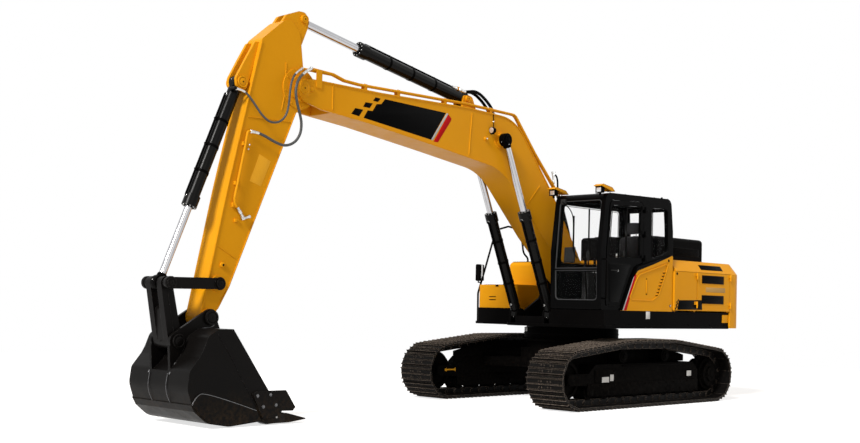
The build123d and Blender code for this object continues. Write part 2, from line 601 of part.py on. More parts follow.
pump_wall = block(DECK_REAR, OIL_REAR - 5, -HOUSE_HALF + SHOULDER_IN, RIGHT_IN, BAY_TOP - BAY_WALL, BAY_TOP)
pump_wall = pump_wall + shoulder(DECK_REAR, OIL_REAR - 5, -1)
pump_wall = pump_wall + block(OIL_REAR - 35, OIL_REAR - 5, -HOUSE_HALF + DOOR_T + SEAT, RIGHT_IN, DECK_Z1,
                              BAY_TOP)
pump_wall = pump_wall + block(DECK_REAR, OIL_REAR - 5, -HOUSE_HALF + DOOR_T + SEAT,
                              -HOUSE_HALF + DOOR_T + 65, DECK_Z1, DOOR_Z0 - 215)
pump_wall = pump_wall + block(DECK_REAR, DECK_REAR + 45, -HOUSE_HALF + DOOR_T + SEAT,
                              -HOUSE_HALF + DOOR_T + 65, DECK_Z1, BAY_TOP)
pump_wall = pump_wall - above_shoulder(DECK_REAR, OIL_REAR - 5, -1)
save("pump_bay", post_hinges(pump_wall, SEAM_2, SEAM_2, -1, SIDE_HINGE_Z))


def tank(x0, x1, z1, radius):
    body = block(x0, x1, -HOUSE_HALF, RIGHT_IN, DECK_Z1, z1)
    return fillet(body.edges().filter_by(lambda e: e.center().Z > DECK_Z1 + 1), radius)


fuel_tank = tank(FUEL_REAR + 3, TOOL_REAR - 3, FUEL_TOP, 70)
for y in (-1150, -800):
    fuel_tank = fuel_tank + block(TOOL_REAR - 8, LID_HINGE[0], y - 30, y - SEAT, LID_HINGE[1] - 5,
                                  LID_HINGE[1] + 5)
    fuel_tank = fuel_tank + pin(LID_HINGE, 8, y - 30, y - SEAT)
save("fuel_tank", fuel_tank)
save("oil_tank", tank(OIL_REAR + 3, FUEL_REAR - 3, OIL_TOP, 50))
tool_box = block(TOOL_REAR + 3, TOOL_FRONT, -HOUSE_HALF, RIGHT_IN, DECK_Z1, TOOL_TOP - 40 - SEAT)
tool_box = fillet(tool_box.edges().filter_by(Axis.Z).sort_by(Axis.X)[-2:], 60)
tool_box = tool_box - block(TOOL_REAR + 28, TOOL_FRONT - 25, -HOUSE_HALF + 25, RIGHT_IN - 25, DECK_Z1 + 25,
                            TOOL_TOP)
save("tool_box", tool_box)
lid = block(TOOL_REAR + 6, TOOL_FRONT, -HOUSE_HALF, RIGHT_IN, TOOL_TOP - 40, TOOL_TOP)
lid = fillet(lid.edges().filter_by(Axis.Z).sort_by(Axis.X)[-2:], 60)
for y in (-1150, -800):
    lid = lid + block(LID_HINGE[0], LID_HINGE[0] + 40, y, y + 30, TOOL_TOP - 5, TOOL_TOP + 6)
    lid = lid + pin(LID_HINGE, 8, y, y + 30)
save("tool_box_lid", lid)


# Cab: hollow shell with its windows cut, door on the left

PILLAR_B = 0  # middle of the post behind the door
SIDE_OUTLINE = (
    (CAB_REAR, CAB_FLOOR, 0),
    (CAB_FRONT, CAB_FLOOR, 40),
    (CAB_FRONT + 20, 2150, 0),
    (960, CAB_ROOF - 30, 130),
    (CAB_REAR + 60, CAB_ROOF, 110),
    (CAB_REAR, 2500, 0),
)
DOOR_OPENING = ((955, 1390, 60), (950, 2160, 0), (880, 2860, 90), (55, 2890, 90), (55, 2010, 40),
                (240, 1970, 50), (355, 1806, 30), (580, 1390, 30))
DOOR_WINDOW = ((885, 2070, 50), (885, 2160, 0), (830, 2790, 70), (120, 2820, 70), (120, 2090, 60))
QUARTER_WINDOW = ((-150, 2090, 40), (-150, 2820, 50), (-560, 2830, 70), (-590, 2230, 90), (-440, 2150, 60))


def inset(outline, distance):
    """Moves each corner of an outline towards the outline's middle along X and Z."""
    mid_x = sum(c[0] for c in outline) / len(outline)
    mid_z = sum(c[1] for c in outline) / len(outline)
    return [(c[0] + math.copysign(distance, mid_x - c[0]), c[1] + math.copysign(distance, mid_z - c[1]),
             max(c[2] - distance, 5) if len(c) > 2 and c[2] else 0) for c in outline]


def cab_shell():
    outer = slab(SIDE_OUTLINE, CAB_IN, CAB_OUT)
    edges = outer.edges().filter_by(
        lambda e: e.center().Z > CAB_FLOOR + 1
        and (abs(e.center().Y - CAB_IN) < 1 or abs(e.center().Y - CAB_OUT) < 1))
    inner = slab(inset(SIDE_OUTLINE, CAB_WALL), CAB_IN + CAB_WALL, CAB_OUT - CAB_WALL)
    shell = outer - inner
    shell = shell - slab(DOOR_OPENING, CAB_OUT - CAB_WALL - 1, CAB_OUT + 1)
    shell = shell - slab(QUARTER_WINDOW, CAB_OUT - CAB_WALL - 1, CAB_OUT + 1)
    shell = shell - slab([(-560, 2000, 60), (890, 2000, 60), (820, 2830, 60), (-560, 2830, 60)], CAB_IN - 1,
                         CAB_IN + CAB_WALL + 1)
    shell = shell - block(CAB_FRONT - 250, CAB_FRONT + 100, CAB_IN + 70, CAB_OUT - 70, CAB_FLOOR + 130,
                          CAB_ROOF - 120)
    shell = shell - block(CAB_REAR - 10, CAB_REAR + 140, CAB_IN + 110, CAB_OUT - 110, 2080, CAB_ROOF - 160)
    shell = shell - block(100, 620, CAB_IN + 170, CAB_OUT - 170, CAB_ROOF - 100, CAB_ROOF + 20)
    return shell


DOOR_HINGE = (40, CAB_OUT + 22)
DOOR_HINGE_Z = (2090, 2430, 2780)


def cab_with_hinges():
    shell = cab_shell()
    for z in DOOR_HINGE_Z:
        leaf = block(DOOR_HINGE[0] - 75, DOOR_HINGE[0], CAB_OUT - 5, DOOR_HINGE[1] - 6, z - 45, z - SEAT)
        shell = shell + leaf + knuckle(*DOOR_HINGE, z - 45, 45 - SEAT)
    return shell


save("cab_shell", cab_with_hinges())
door_outline = [(930, 1395 + GAP, 50), (925, 2160, 0), (858, 2855, 80), (60 + GAP, 2880, 80),
                (60 + GAP, 2026, 40), (244, 1984, 50), (363, 1814, 30), (590, 1395 + GAP, 20)]
door = (slab(door_outline, CAB_OUT - CAB_WALL, CAB_OUT)
        - slab(DOOR_WINDOW, CAB_OUT - CAB_WALL - 1, CAB_OUT + 1))
for z in DOOR_HINGE_Z:
    leaf = block(DOOR_HINGE[0], DOOR_HINGE[0] + 75, CAB_OUT + 1, DOOR_HINGE[1] - 6, z, z + 45)
    root = block(DOOR_HINGE[0] + 30, DOOR_HINGE[0] + 75, CAB_OUT - 5, CAB_OUT + 5, z, z + 45)
    door = door + leaf + root + knuckle(*DOOR_HINGE, z, 45)
save("cab_door", door)
save("door_glass", slab([(c[0], c[1], c[2]) for c in DOOR_WINDOW], CAB_OUT - 30, CAB_OUT - 30 + GLASS))
glass = slab(QUARTER_WINDOW, CAB_OUT - 30, CAB_OUT - 30 + GLASS)
glass = glass + slab([(-560, 2000, 60), (890, 2000, 60), (820, 2830, 60), (-560, 2830, 60)], CAB_IN + 20,
                     CAB_IN + 20 + GLASS)
save("cab_glass", glass)
seat = (block(-250, 270, 640, 1120, 1700, 1830) + block(-330, -220, 650, 1110, 1780, 2440)
        + block(-180, 200, 700, 1060, CAB_FLOOR + CAB_WALL, 1700))
save("operator_seat", fillet(seat.edges().filter_by(Axis.Y), 20))
console = (block(-150, 420, 500, 610, CAB_FLOOR + CAB_WALL, 1880)
           + block(-50, 400, 1140, 1230, CAB_FLOOR + CAB_WALL, 1880))
save("cab_consoles", console)


# Working equipment

def hollow_beam(outline, inner, half, plate):
    return slab(outline, -half, half) - slab(inner, -half + plate, half - plate)


BOOM_OUTLINE = (
    (-75, 1830, 0),
    (830, 3050, 700),
    (1640, 3975, 700),
    (2600, 4005, 0),
    (4200, 3968, 0),
    (5330, 3970, 60),
    (5550, 3860, 105),
    (5450, 3700, 105),
    (5130, 3625, 0),
    (4410, 3560, 0),
    (3150, 3405, 0),
    (1900, 3240, 900),
    (1020, 2375, 300),
    (170, 1660, 60),
)
BOOM_CAVITY = (
    (250, 2120, 0),
    (1680, 3930, 700),
    (2600, 3970, 0),
    (4960, 3930, 0),
    (4960, 3665, 0),
    (4400, 3600, 0),
    (3150, 3440, 0),
    (1880, 3275, 800),
    (1000, 2410, 300),
    (450, 1950, 0),
)
ARM_OUTLINE = (
    (5995, 4335, 100),
    (5600, 4672, 130),
    (5440, 4490, 120),
    (5388, 4110, 60),
    (5275, 3930, 120),
    (5300, 3720, 150),
    (5482, 3545, 150),
    (5877, 2623, 0),
    (6352, 1510, 0),
    (6540, 1190, 40),
    (6560, 1075, 70),
    (6722, 1082, 90),
    (6712, 1250, 60),
    (6421, 2581, 0),
    (6182, 3570, 0),
)
ARM_CAVITY = (
    (5950, 4300, 60),
    (5620, 4580, 60),
    (5560, 4400, 60),
    (5640, 3800, 0),
    (5622, 3400, 0),
    (5922, 2630, 0),
    (6372, 1640, 0),
    (6572, 1640, 0),
    (6387, 2575, 0),
    (6147, 3560, 0),
)
ARM_LUG = (
    (5720, 4540, 0),
    (5620, 4690, 60),
    (5440, 4764, 60),
    (5350, 4764, 60),
    (5288, 4700, 60),
    (5300, 4590, 60),
    (5420, 4300, 0),
    (5560, 4300, 0),
)
CYLINDER_EAR = (
    (5990, 4300, 0),
    (6055, 4300, 30),
    (6180, 4080, 0),
    (6305, 3850, 70),
    (6290, 3740, 70),
    (6180, 3710, 50),
    (6140, 3800, 0),
)


# Steel pipes on the near side of the boom and arm, and the bracket at the boom's nose
PIPE_R, PIPE_BEND = 16, 120
PIPE_NEAR, PIPE_FAR = 208, 178
PIPE_ROUTE = ((640, 3010), (1190, 3545), (1640, 4032), (2600, 4052), (4560, 4018), (4800, 4030),
              (4980, 4076), (5316, 4090))
FAR_PIPE_END = (5430, 4075)
PIPE_CLAMPS = ((2150, 4040), (3050, 4042), (3900, 4028), (4460, 4018))
ARM_PIPE_Y = 172
ARM_PIPE_ROUTE = ((6147, 3254), (6182, 3250), (6221, 3037), (6338, 2490))
ARM_PIPE_CLAMPS = ((6208, 3110), (6302, 2660))


def boom_pipes():
    """Two pipes that follow the boom's top edge, on clamps, and a bracket that carries their ends."""
    near = [(x, PIPE_NEAR, z) for x, z in PIPE_ROUTE]
    far = [(x, PIPE_FAR, z) for x, z in PIPE_ROUTE[:-1]] + [(FAR_PIPE_END[0], PIPE_FAR, FAR_PIPE_END[1])]
    pipes = tube(near, PIPE_R, PIPE_BEND)[0] + tube(far, PIPE_R, PIPE_BEND)[0]
    for x, z in PIPE_CLAMPS:
        pipes = pipes + block(x - 25, x + 25, PIPE_FAR - 24, BOOM_HALF - 2, z - 75, z + 8)
    x, z = 5208, PIPE_ROUTE[-1][1]
    pipes = pipes + block(x - 42, x + 42, BOOM_HALF - 2, BOOM_HALF + 12, 3875, z + 5)
    return pipes + block(x - 42, x + 42, PIPE_FAR - 12, BOOM_HALF + 12, z - 30, z - 6)


def arm_pipe():
    """A pipe down the arm's near side to its shut-off tee."""
    pipe = tube([(x, ARM_PIPE_Y, z) for x, z in ARM_PIPE_ROUTE], PIPE_R, 60)[0]
    for x, z in ARM_PIPE_CLAMPS:
        pipe = pipe + block(x - 30, x + 30, ARM_HALF - 2, ARM_PIPE_Y + 4, z - 22, z + 22)
    return pipe


def boom():
    beam = hollow_beam(BOOM_OUTLINE, BOOM_CAVITY, BOOM_HALF, BOOM_PLATE)
    beam = beam + pin(BOOM_FOOT, 135, -WEB_IN + GAP, WEB_IN - GAP)
    beam = beam - pin(BOOM_FOOT, 51, -WEB_IN, WEB_IN)
    slot = slab([(5000, 3300), (5000, 4300), (5900, 4300), (5900, 3300)], -EAR_IN, EAR_IN)
    beam = beam - slot
    beam = beam + both_sides(pin(ARM_PIVOT, 108, EAR_IN, BOOM_HALF + 12))
    beam = beam + pin(ARM_PIVOT, 55, -BOOM_HALF - 30, BOOM_HALF + 30)
    beam = beam + both_sides(pin(BOOM_CYL_EYE, 95, BOOM_HALF - 10, BOOM_CYL_Y - BOOM_CYL["eye_half"] - GAP))
    ears = slab([(2300, 3980), (2405, 4195, 60), (2582, 4195, 60), (2590, 3980)], ARM_CYL["eye_half"] + GAP,
                ARM_CYL["eye_half"] + GAP + 35)
    beam = beam + both_sides(ears) + pin(ARM_CYL_FOOT, ARM_CYL["pin"], -110, 110)
    return beam + boom_pipes()


def arm():
    beam = hollow_beam(ARM_OUTLINE, ARM_CAVITY, ARM_HALF, ARM_PLATE)
    beam = beam + pin(ARM_PIVOT, 165, -ARM_HALF, ARM_HALF)
    beam = beam + both_sides(pin(ARM_PIVOT, 240, ARM_HALF - 5, ARM_HALF + 12))
    beam = beam + both_sides(pin(ARM_PIVOT, 150, ARM_HALF, EAR_IN - GAP))
    beam = beam - pin(ARM_PIVOT, 56, -EAR_IN, EAR_IN)
    gap = ARM_CYL["eye_half"] + GAP
    beam = beam + both_sides(slab(ARM_LUG, gap, 100) + pin(ARM_TOP, 52, gap, 118))
    beam = beam - slab([(5150, 4440), (5400, 4540), (5530, 4640), (5620, 4760), (5620, 5000), (5150, 5000)],
                       -gap, gap)
    near = BUCKET_CYL["eye_half"] + GAP
    ears = slab(CYLINDER_EAR, near, near + 40) + pin(BUCKET_CYL_HEAD, 55, near, near + 52)
    beam = beam + both_sides(ears) + pin(BUCKET_CYL_HEAD, BUCKET_CYL["pin"], -105, 105)
    beam = beam + pin(IDLER_PIN, 85, -NOSE_HALF, NOSE_HALF) + pin(IDLER_PIN, 38, -208, 208)
    return beam + pin(BUCKET_PIN, 92, -NOSE_HALF, NOSE_HALF) - pin(BUCKET_PIN, 41, -170, 170) + arm_pipe()


def cylinder_parts(foot, eye, y, sizes):
    """Barrel and rod of one cylinder between two pins in the plane Y = y."""
    length = math.dist(foot, eye)

    def at(distance):
        x, z = toward(foot, eye, distance)
        return (x, y, z)

    base, gland = sizes["eye"] + 10, sizes["gland"]
    head = gland - 130
    barrel = rod(at(base), at(gland), sizes["barrel"]) + rod(at(head), at(gland), sizes["barrel"] + 14)
    barrel = barrel - rod(at(base + 60), at(head + 20), sizes["barrel"] - 14)
    barrel = barrel - rod(at(head), at(gland), sizes["rod"] + 0.5)
    barrel = barrel + rod(at(sizes["pin"] + 10), at(base + 5), sizes["eye_half"] * 0.9)
    barrel = barrel + pin(foot, sizes["eye"], y - sizes["eye_half"], y + sizes["eye_half"])
    barrel = barrel - pin(foot, sizes["pin"] + 1, y - sizes["barrel"], y + sizes["barrel"])
    inner = sizes["inner"]
    bar = rod(at(inner), at(length - sizes["eye"] * 0.5), sizes["rod"])
    if sizes["piston"]:
        bar = bar + rod(at(inner), at(inner + sizes["piston"]), sizes["barrel"] - 15)
    bar = bar + pin(eye, sizes["eye"], y - sizes["eye_half"], y + sizes["eye_half"])
    return barrel, bar


# Bucket, seen from its left side
BUCKET_OUTLINE = (
    (6586, 1048, 0),
    (6775, 1048, 60),
    (6905, 970, 90),
    (6962, 830, 40),
    (7005, 755, 30),
    (7125, 610, 80),
    (7150, 430, 200),
    (7085, 245, 180),
    (6900, 72, 220),
    (6620, 24, 300),
    (6170, 60, 0),
    (5890, 84, 0),
    (5896, 100, 0),
)
BUCKET_CAVITY = (
    (6200, 1012, 0),
    (6762, 1012, 40),
    (6873, 945, 60),
    (6928, 820, 30),
    (6972, 738, 20),
    (7090, 598, 60),
    (7114, 430, 170),
    (7055, 265, 150),
    (6886, 106, 190),
    (6620, 60, 260),
    (6170, 96, 0),
    (5750, 130, 0),
    (5750, 400, 0),
)
HEEL = (
    (7098, 258, 0),
    (7060, 190, 0),
    (6904, 60, 230),
    (6618, 11, 300),
    (6250, 42, 0),
    (6250, 60, 0),
    (6620, 30, 280),
    (6895, 80, 210),
    (7040, 215, 0),
    (7080, 262, 0),
)
RECESS_CUT = (
    (6600, 1100, 0),
    (6680, 1030, 40),
    (6760, 930, 80),
    (6900, 850, 80),
    (6990, 700, 80),
    (7112, 596, 0),
    (7300, 596, 0),
    (7300, 1100, 0),
)
RECESS_WALL = (
    (6590, 1048, 0),
    (6670, 1036, 40),
    (6760, 930, 80),
    (6900, 850, 80),
    (6990, 700, 80),
    (7112, 596, 0),
    (7085, 570, 0),
    (6962, 680, 60),
    (6876, 824, 60),
    (6738, 902, 60),
    (6650, 1010, 30),
    (6590, 1013, 0),
)
EAR_FOOT = (
    (6500, 1030, 0),
    (6545, 1140, 0),
    (6700, 1110, 0),
    (7060, 1000, 0),
    (7140, 860, 60),
    (7120, 560, 0),
    (7090, 560, 0),
    (6970, 700, 0),
    (6880, 860, 0),
    (6740, 920, 0),
    (6650, 1020, 0),
)
SIDE_CUTTER = (
    (6330, 350, 25),
    (6268, 378, 20),
    (5874, 376, 0),
    (5737, 182, 0),
    (5777, 146, 0),
    (5925, 150, 0),
    (5965, 100, 0),
    (6180, 75, 0),
)
SIDE_WEAR = (
    (7095, 262, 0),
    (7050, 350, 60),
    (6936, 395, 90),
    (6265, 168, 0),
    (6200, 60, 0),
    (6620, 26, 290),
    (6898, 76, 215),
    (7078, 248, 170),
)
TOOTH = (
    (6080, 62, 0),
    (6000, 118, 0),
    (5830, 120, 0),
    (5565, 52, 0),
    (5565, 40, 0),
    (5800, 14, 0),
    (6100, 14, 0),
    (6130, 62, 0),
)
TOOTH_COUNT = 5
EAR_INNER, EAR_OUTER = 160, 198


def bucket():
    inside = BUCKET_HALF - BUCKET_SIDE
    shell = slab(BUCKET_OUTLINE, -BUCKET_HALF, BUCKET_HALF) - slab(BUCKET_CAVITY, -inside, inside)
    shell = shell - slab(RECESS_CUT, -EAR_INNER, EAR_INNER)
    shell = shell + slab(RECESS_WALL, -EAR_INNER, EAR_INNER)
    shell = shell + slab(HEEL, -BUCKET_HALF, BUCKET_HALF)
    ear = strap(BUCKET_PIN, BUCKET_LINK_PIN, 95, 98, EAR_INNER, EAR_OUTER)
    ear = ear + slab(EAR_FOOT, EAR_INNER, EAR_OUTER)
    cheek = slab(SIDE_WEAR, BUCKET_HALF, BUCKET_HALF + 12) + slab(SIDE_CUTTER, BUCKET_HALF, BUCKET_HALF + 25)
    shell = shell + both_sides(ear + cheek)
    shell = shell + pin(BUCKET_PIN, 40, -212, 212) + pin(BUCKET_LINK_PIN, 38, -212, 212)
    for i in range(TOOTH_COUNT):
        y = (BUCKET_HALF - 55) * (2 * i / (TOOTH_COUNT - 1) - 1)
        shell = shell + slab(TOOTH, y - 48, y + 48)
    return shell


# Two braided hoses that hang in loops beside the arm's pivot: their chosen routes (x, y, z) and radii
BUCKET_HOSE = ((5437, 178, 4075), (5563, 225, 4011), (5655, 262, 3887), (5683, 275, 3755),
               (5690, 272, 3616), (5714, 262, 3482), (5801, 248, 3392),
               (5924, 232, 3377), (6024, 212, 3449), (6094, 190, 3546), (6162, 165, 3641),
               (6229, 140, 3707), (6316, 118, 3719))
ARM_HOSE = ((5325, 208, 4090), (5464, 245, 4018), (5584, 282, 3902), (5625, 300, 3767), (5595, 298, 3644),
            (5548, 290, 3536), (5501, 278, 3422),
            (5506, 266, 3289), (5579, 252, 3183), (5705, 238, 3132), (5838, 222, 3164), (5961, 205, 3219),
            (6069, 188, 3252), (6138, 177, 3254))
hoses = []
for route, radius in ((BUCKET_HOSE, 12.5), (ARM_HOSE, 16)):
    hose, length, tightest = tube(route, radius)
    print("hose", round(length), "mm long, tightest arc", round(tightest), "mm")
    hoses.append(hose)
save("arm_hoses", Compound(children=hoses))
save("boom", boom())
save("arm", arm())
barrels, rods = [], []
for y in (BOOM_CYL_Y, -BOOM_CYL_Y):
    barrel, bar = cylinder_parts(BOOM_CYL_FOOT, BOOM_CYL_EYE, y, BOOM_CYL)
    barrels.append(barrel)
    rods.append(bar)
save("boom_cylinder_barrels", Compound(children=barrels))
save("boom_cylinder_rods", Compound(children=rods))
barrel, bar = cylinder_parts(ARM_CYL_FOOT, ARM_TOP, 0, ARM_CYL)
save("arm_cylinder_barrel", barrel)
save("arm_cylinder_rod", bar)
barrel, bar = cylinder_parts(BUCKET_CYL_HEAD, LINK_PIN, 0, BUCKET_CYL)
elbow_x, elbow_z = BUCKET_HOSE[-1][0] + 23.3, BUCKET_HOSE[-1][2] + 3
save("bucket_cylinder_barrel", barrel + pin((elbow_x, elbow_z), 20, 40, BUCKET_HOSE[-1][1] + 20))
save("bucket_cylinder_rod", bar)
side_link = (strap(IDLER_PIN, LINK_PIN, 62, 62, 166, 200) - pin(IDLER_PIN, 39, 166, 200)
             + pin(LINK_PIN, 45, 199, 212))
save("idler_links", Compound(children=[side_link, mirror(side_link, about=Plane.XZ)]))
h_link = both_sides(strap(LINK_PIN, BUCKET_LINK_PIN, 70, 84, 60, 150))
middle = toward(LINK_PIN, BUCKET_LINK_PIN, 300)
h_link = h_link + strap(middle, BUCKET_LINK_PIN, 55, 84, -61, 61) - pin(BUCKET_LINK_PIN, 39, -160, 160)
save("h_link", h_link)
save("bucket", bucket())
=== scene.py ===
import math

import bmesh
import bpy
from mathutils import Matrix, Vector


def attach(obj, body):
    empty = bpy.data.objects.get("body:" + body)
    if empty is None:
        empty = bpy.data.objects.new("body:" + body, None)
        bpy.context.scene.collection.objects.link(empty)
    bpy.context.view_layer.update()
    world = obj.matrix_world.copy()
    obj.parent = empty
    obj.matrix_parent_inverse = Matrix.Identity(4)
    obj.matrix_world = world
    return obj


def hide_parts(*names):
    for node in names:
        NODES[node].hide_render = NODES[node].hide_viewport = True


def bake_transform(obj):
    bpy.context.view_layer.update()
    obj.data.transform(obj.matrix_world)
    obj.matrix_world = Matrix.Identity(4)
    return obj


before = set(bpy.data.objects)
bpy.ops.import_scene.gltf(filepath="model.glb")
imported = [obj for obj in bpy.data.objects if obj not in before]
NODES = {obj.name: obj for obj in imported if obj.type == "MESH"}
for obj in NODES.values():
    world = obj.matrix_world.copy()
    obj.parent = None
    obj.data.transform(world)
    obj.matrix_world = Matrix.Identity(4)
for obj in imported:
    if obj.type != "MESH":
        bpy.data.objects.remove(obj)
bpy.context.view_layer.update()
scene = bpy.context.scene
scene.view_settings.view_transform = "Standard"
SWING_X = -2.145  # the swing axis in the part's frame, in metres
TO_FRAME = Matrix.Translation((SWING_X, 0, 0)) @ Matrix.Scale(0.001, 4)
SIDES = (1, -1)  # the cab's side of the machine and the other side


# Camera, fitted to the photograph

CAMERA_PLACE = (14.017, 10.797, 1.350)  # from the swing axis, in metres
# where its right, its top and its back look
CAMERA_WAYS = ((-0.70095, 0.71284, 0.02308), (0.03593, 0.00297, 0.99935), (0.71230, 0.70132, -0.02769))
SENSOR_MM, LENS_MM, SHIFT_UP, CLIP_END = 36, 48.92, 0.0599, 200


def make_camera():
    data = bpy.data.cameras.new("camera")
    data.sensor_width, data.lens, data.shift_y, data.clip_end = SENSOR_MM, LENS_MM, SHIFT_UP, CLIP_END
    camera = bpy.data.objects.new("camera", data)
    scene.collection.objects.link(camera)
    x, y, z = CAMERA_PLACE
    place = Matrix.Translation((x + SWING_X, y, z))
    camera.matrix_world = place @ Matrix(CAMERA_WAYS).transposed().to_4x4()
    scene.camera = camera


make_camera()


# Materials. Colours are linear shares of red, green and blue; lengths are in metres.

def put(tree, socket, value):
    """Gives a node's input a value or another node's output."""
    if isinstance(value, bpy.types.NodeSocket):
        tree.links.new(value, socket)
    elif socket.type == "RGBA":
        socket.default_value = (*value, 1)
    else:
        socket.default_value = value


def add_node(tree, kind, inputs=(), **settings):
    """A node with its settings, and with its inputs as named or numbered in a dictionary."""
    made = tree.nodes.new(kind)
    for key, value in settings.items():
        setattr(made, key, value)
    for key, value in dict(inputs).items():
        put(tree, made.inputs[key], value)
    return made


class Shader:
    """A material's node tree with short names for the nodes used here."""

    INPUTS = dict(colour="Base Color", roughness="Roughness", normal="Normal", metallic="Metallic",
                  coat="Coat Weight", specular="Specular IOR Level", sheen="Sheen Weight", alpha="Alpha")

    def __init__(self, name, **values):
        self.material = bpy.data.materials.new(name)
        self.material.use_nodes = True
        self.tree = self.material.node_tree
        self.bsdf = self.tree.nodes["Principled BSDF"]
        self.coordinates = self.node("ShaderNodeTexCoord").outputs["Object"]
        self.set(**values)

    def node(self, kind, inputs=(), **settings):
        return add_node(self.tree, kind, inputs, **settings)

    def set(self, **values):
        for key, value in values.items():
            put(self.tree, self.bsdf.inputs[self.INPUTS[key]], value)

    def noise(self, scale, detail, roughness=0.55, stretch=None):
        place = self.coordinates
        if stretch:
            place = self.node("ShaderNodeMapping", {"Vector": place, "Scale": stretch}).outputs["Vector"]
        inputs = {"Vector": place, "Scale": scale, "Detail": detail, "Roughness": roughness}
        return self.node("ShaderNodeTexNoise", inputs).outputs["Fac"]

    def patches(self, scale, detail, start, end, low=0.0, high=1.0, roughness=0.55, stretch=None):
        """Noise as a grey that runs from low to high between two of its values."""
        made = self.node("ShaderNodeValToRGB", {"Fac": self.noise(scale, detail, roughness, stretch)})
        for element, position, grey in zip(made.color_ramp.elements, (start, end), (low, high)):
            element.position = position
            element.color = (grey, grey, grey, 1)
        return made.outputs["Color"]

    def mix(self, factor, a, b):
        made = self.node("ShaderNodeMix", {"Factor": factor}, data_type="RGBA")
        for socket, value in zip([s for s in made.inputs if s.type == "RGBA"], (a, b)):
            put(self.tree, socket, value)
        return [s for s in made.outputs if s.type == "RGBA"][0]

    def maths(self, operation, a, b):
        return self.node("ShaderNodeMath", {0: a, 1: b}, operation=operation).outputs[0]

    def rounded(self, radius):
        """The surface's normal as if its edges had this radius."""
        return self.node("ShaderNodeBevel", {"Radius": radius}, samples=4).outputs["Normal"]

    def worn_and_highlit_edges(self, base, colour, share, radius, gain, edge_patches):
        """Another colour along the edges in scratchy patches: rubbed-bare edges, and on dark materials a
        painted edge highlight as well.
        """
        flat = self.node("ShaderNodeNewGeometry").outputs["Normal"]
        dot = self.node("ShaderNodeVectorMath", {0: self.rounded(radius), 1: flat}, operation="DOT_PRODUCT")
        edges = self.maths("SUBTRACT", 1.0, dot.outputs["Value"])
        amount = self.maths("MULTIPLY", self.maths("MULTIPLY", edges, gain), edge_patches)
        return self.mix(self.maths("MULTIPLY", self.maths("MINIMUM", amount, 1.0), share), base, colour)

    def height(self):
        """Height over the ground."""
        return self.node("ShaderNodeSeparateXYZ", {"Vector": self.coordinates}).outputs["Z"]

    def finish(self, colour, roughness, bump=None, strength=0.1, distance=0.001, rounding=0.0):
        self.set(colour=colour, roughness=roughness)
        normal = {"Normal": self.rounded(rounding)} if rounding else {}
        if bump is not None:
            inputs = {"Strength": strength, "Distance": distance, "Height": bump, **normal}
            normal = {"Normal": self.node("ShaderNodeBump", inputs).outputs["Normal"]}
        if normal:
            self.set(normal=normal["Normal"])
        return self.material


def lighter(colour, gain):
    return tuple(c * gain for c in colour)


def paint(name, colour, shade, roughness, specular, low_tint=None, low_tint_top=1.0, edge_wear_and_highlight=None, edge_wear_and_highlight_share=0.25):
    """Sprayed paint: slight patches, orange peel, a browner tint towards the ground, and lighter edges that
    are partly rubbed-bare paint and partly a painted edge highlight.
    """
    s = Shader(name, specular=specular)
    base = s.mix(s.patches(0.9, 3, 0.35, 0.7), colour, shade)
    # a colour mixed in towards the ground, fading out at a given height
    if low_tint:
        fade = s.maths("SUBTRACT", 1.0, s.maths("DIVIDE", s.height(), low_tint_top))
        speckle = s.patches(22, 6, 0.42, 0.72, roughness=0.65)
        amount = s.maths("MULTIPLY", s.maths("MAXIMUM", fade, 0.0), speckle)
        base = s.mix(s.maths("MULTIPLY", amount, 0.4), base, low_tint)
    # lighter colour on the edges: partly rubbed-bare paint, partly a painted edge highlight
    if edge_wear_and_highlight:
        base = s.worn_and_highlit_edges(base, edge_wear_and_highlight, edge_wear_and_highlight_share, 0.006, 6.0, s.patches(60, 8, 0.5, 0.62, roughness=0.7))
    rough = s.patches(7, 5, 0.3, 0.75, roughness - 0.05, roughness + 0.09)
    return s.finish(base, rough, s.noise(420, 2), 0.06, 0.0004, 0.006)


def chrome():
    s = Shader("chrome_rod", metallic=1.0)
    base = s.mix(s.noise(5, 3), (0.52, 0.52, 0.53), (0.40, 0.40, 0.42))
    rough = s.patches(90, 3, 0.3, 0.8, 0.10, 0.22, 0.5, (1, 1, 0.08))
    return s.finish(base, rough, s.noise(300, 2, 0.5, (1, 1, 0.1)), 0.03, 0.0002, 0.002)


def steel(name, colour, roughness=0.35, rust=0.0):
    s = Shader(name, metallic=1.0)
    base = s.mix(s.patches(35, 6, 0.35, 0.7), colour, lighter(colour, 0.55))
    if rust:
        spots = s.patches(14, 8, 0.55, 0.7, roughness=0.7)
        base = s.mix(s.maths("MULTIPLY", spots, rust), base, (0.13, 0.06, 0.03))
    rough = s.patches(50, 5, 0.3, 0.75, roughness - 0.08, roughness + 0.12)
    return s.finish(base, rough, s.noise(260, 4), 0.12, 0.0005, 0.002)


def track_shoes():
    """Dark scuffed steel, dusty in its hollows, with light brown-grey edges that are partly rubbed-bare steel
    and partly a painted highlight.
    """
    s = Shader("track_steel", specular=0.06)
    base = s.mix(s.patches(6, 5, 0.3, 0.75), (0.002, 0.0018, 0.0017), (0.005, 0.0045, 0.0042))
    dusty = s.patches(26, 8, 0.52, 0.78, roughness=0.7)
    base = s.mix(s.maths("MULTIPLY", dusty, 0.25), base, (0.055, 0.042, 0.034))
    # light brown-grey edges on the grousers: partly rubbed-bare steel, partly a painted highlight
    base = s.worn_and_highlit_edges(base, (0.26, 0.21, 0.17), 0.7, 0.012, 12.0, s.patches(80, 6, 0.45, 0.6, roughness=0.7))
    return s.finish(base, s.patches(18, 5, 0.3, 0.75, 0.38, 0.62), s.noise(140, 7, 0.6), 0.35, 0.0012, 0.003)


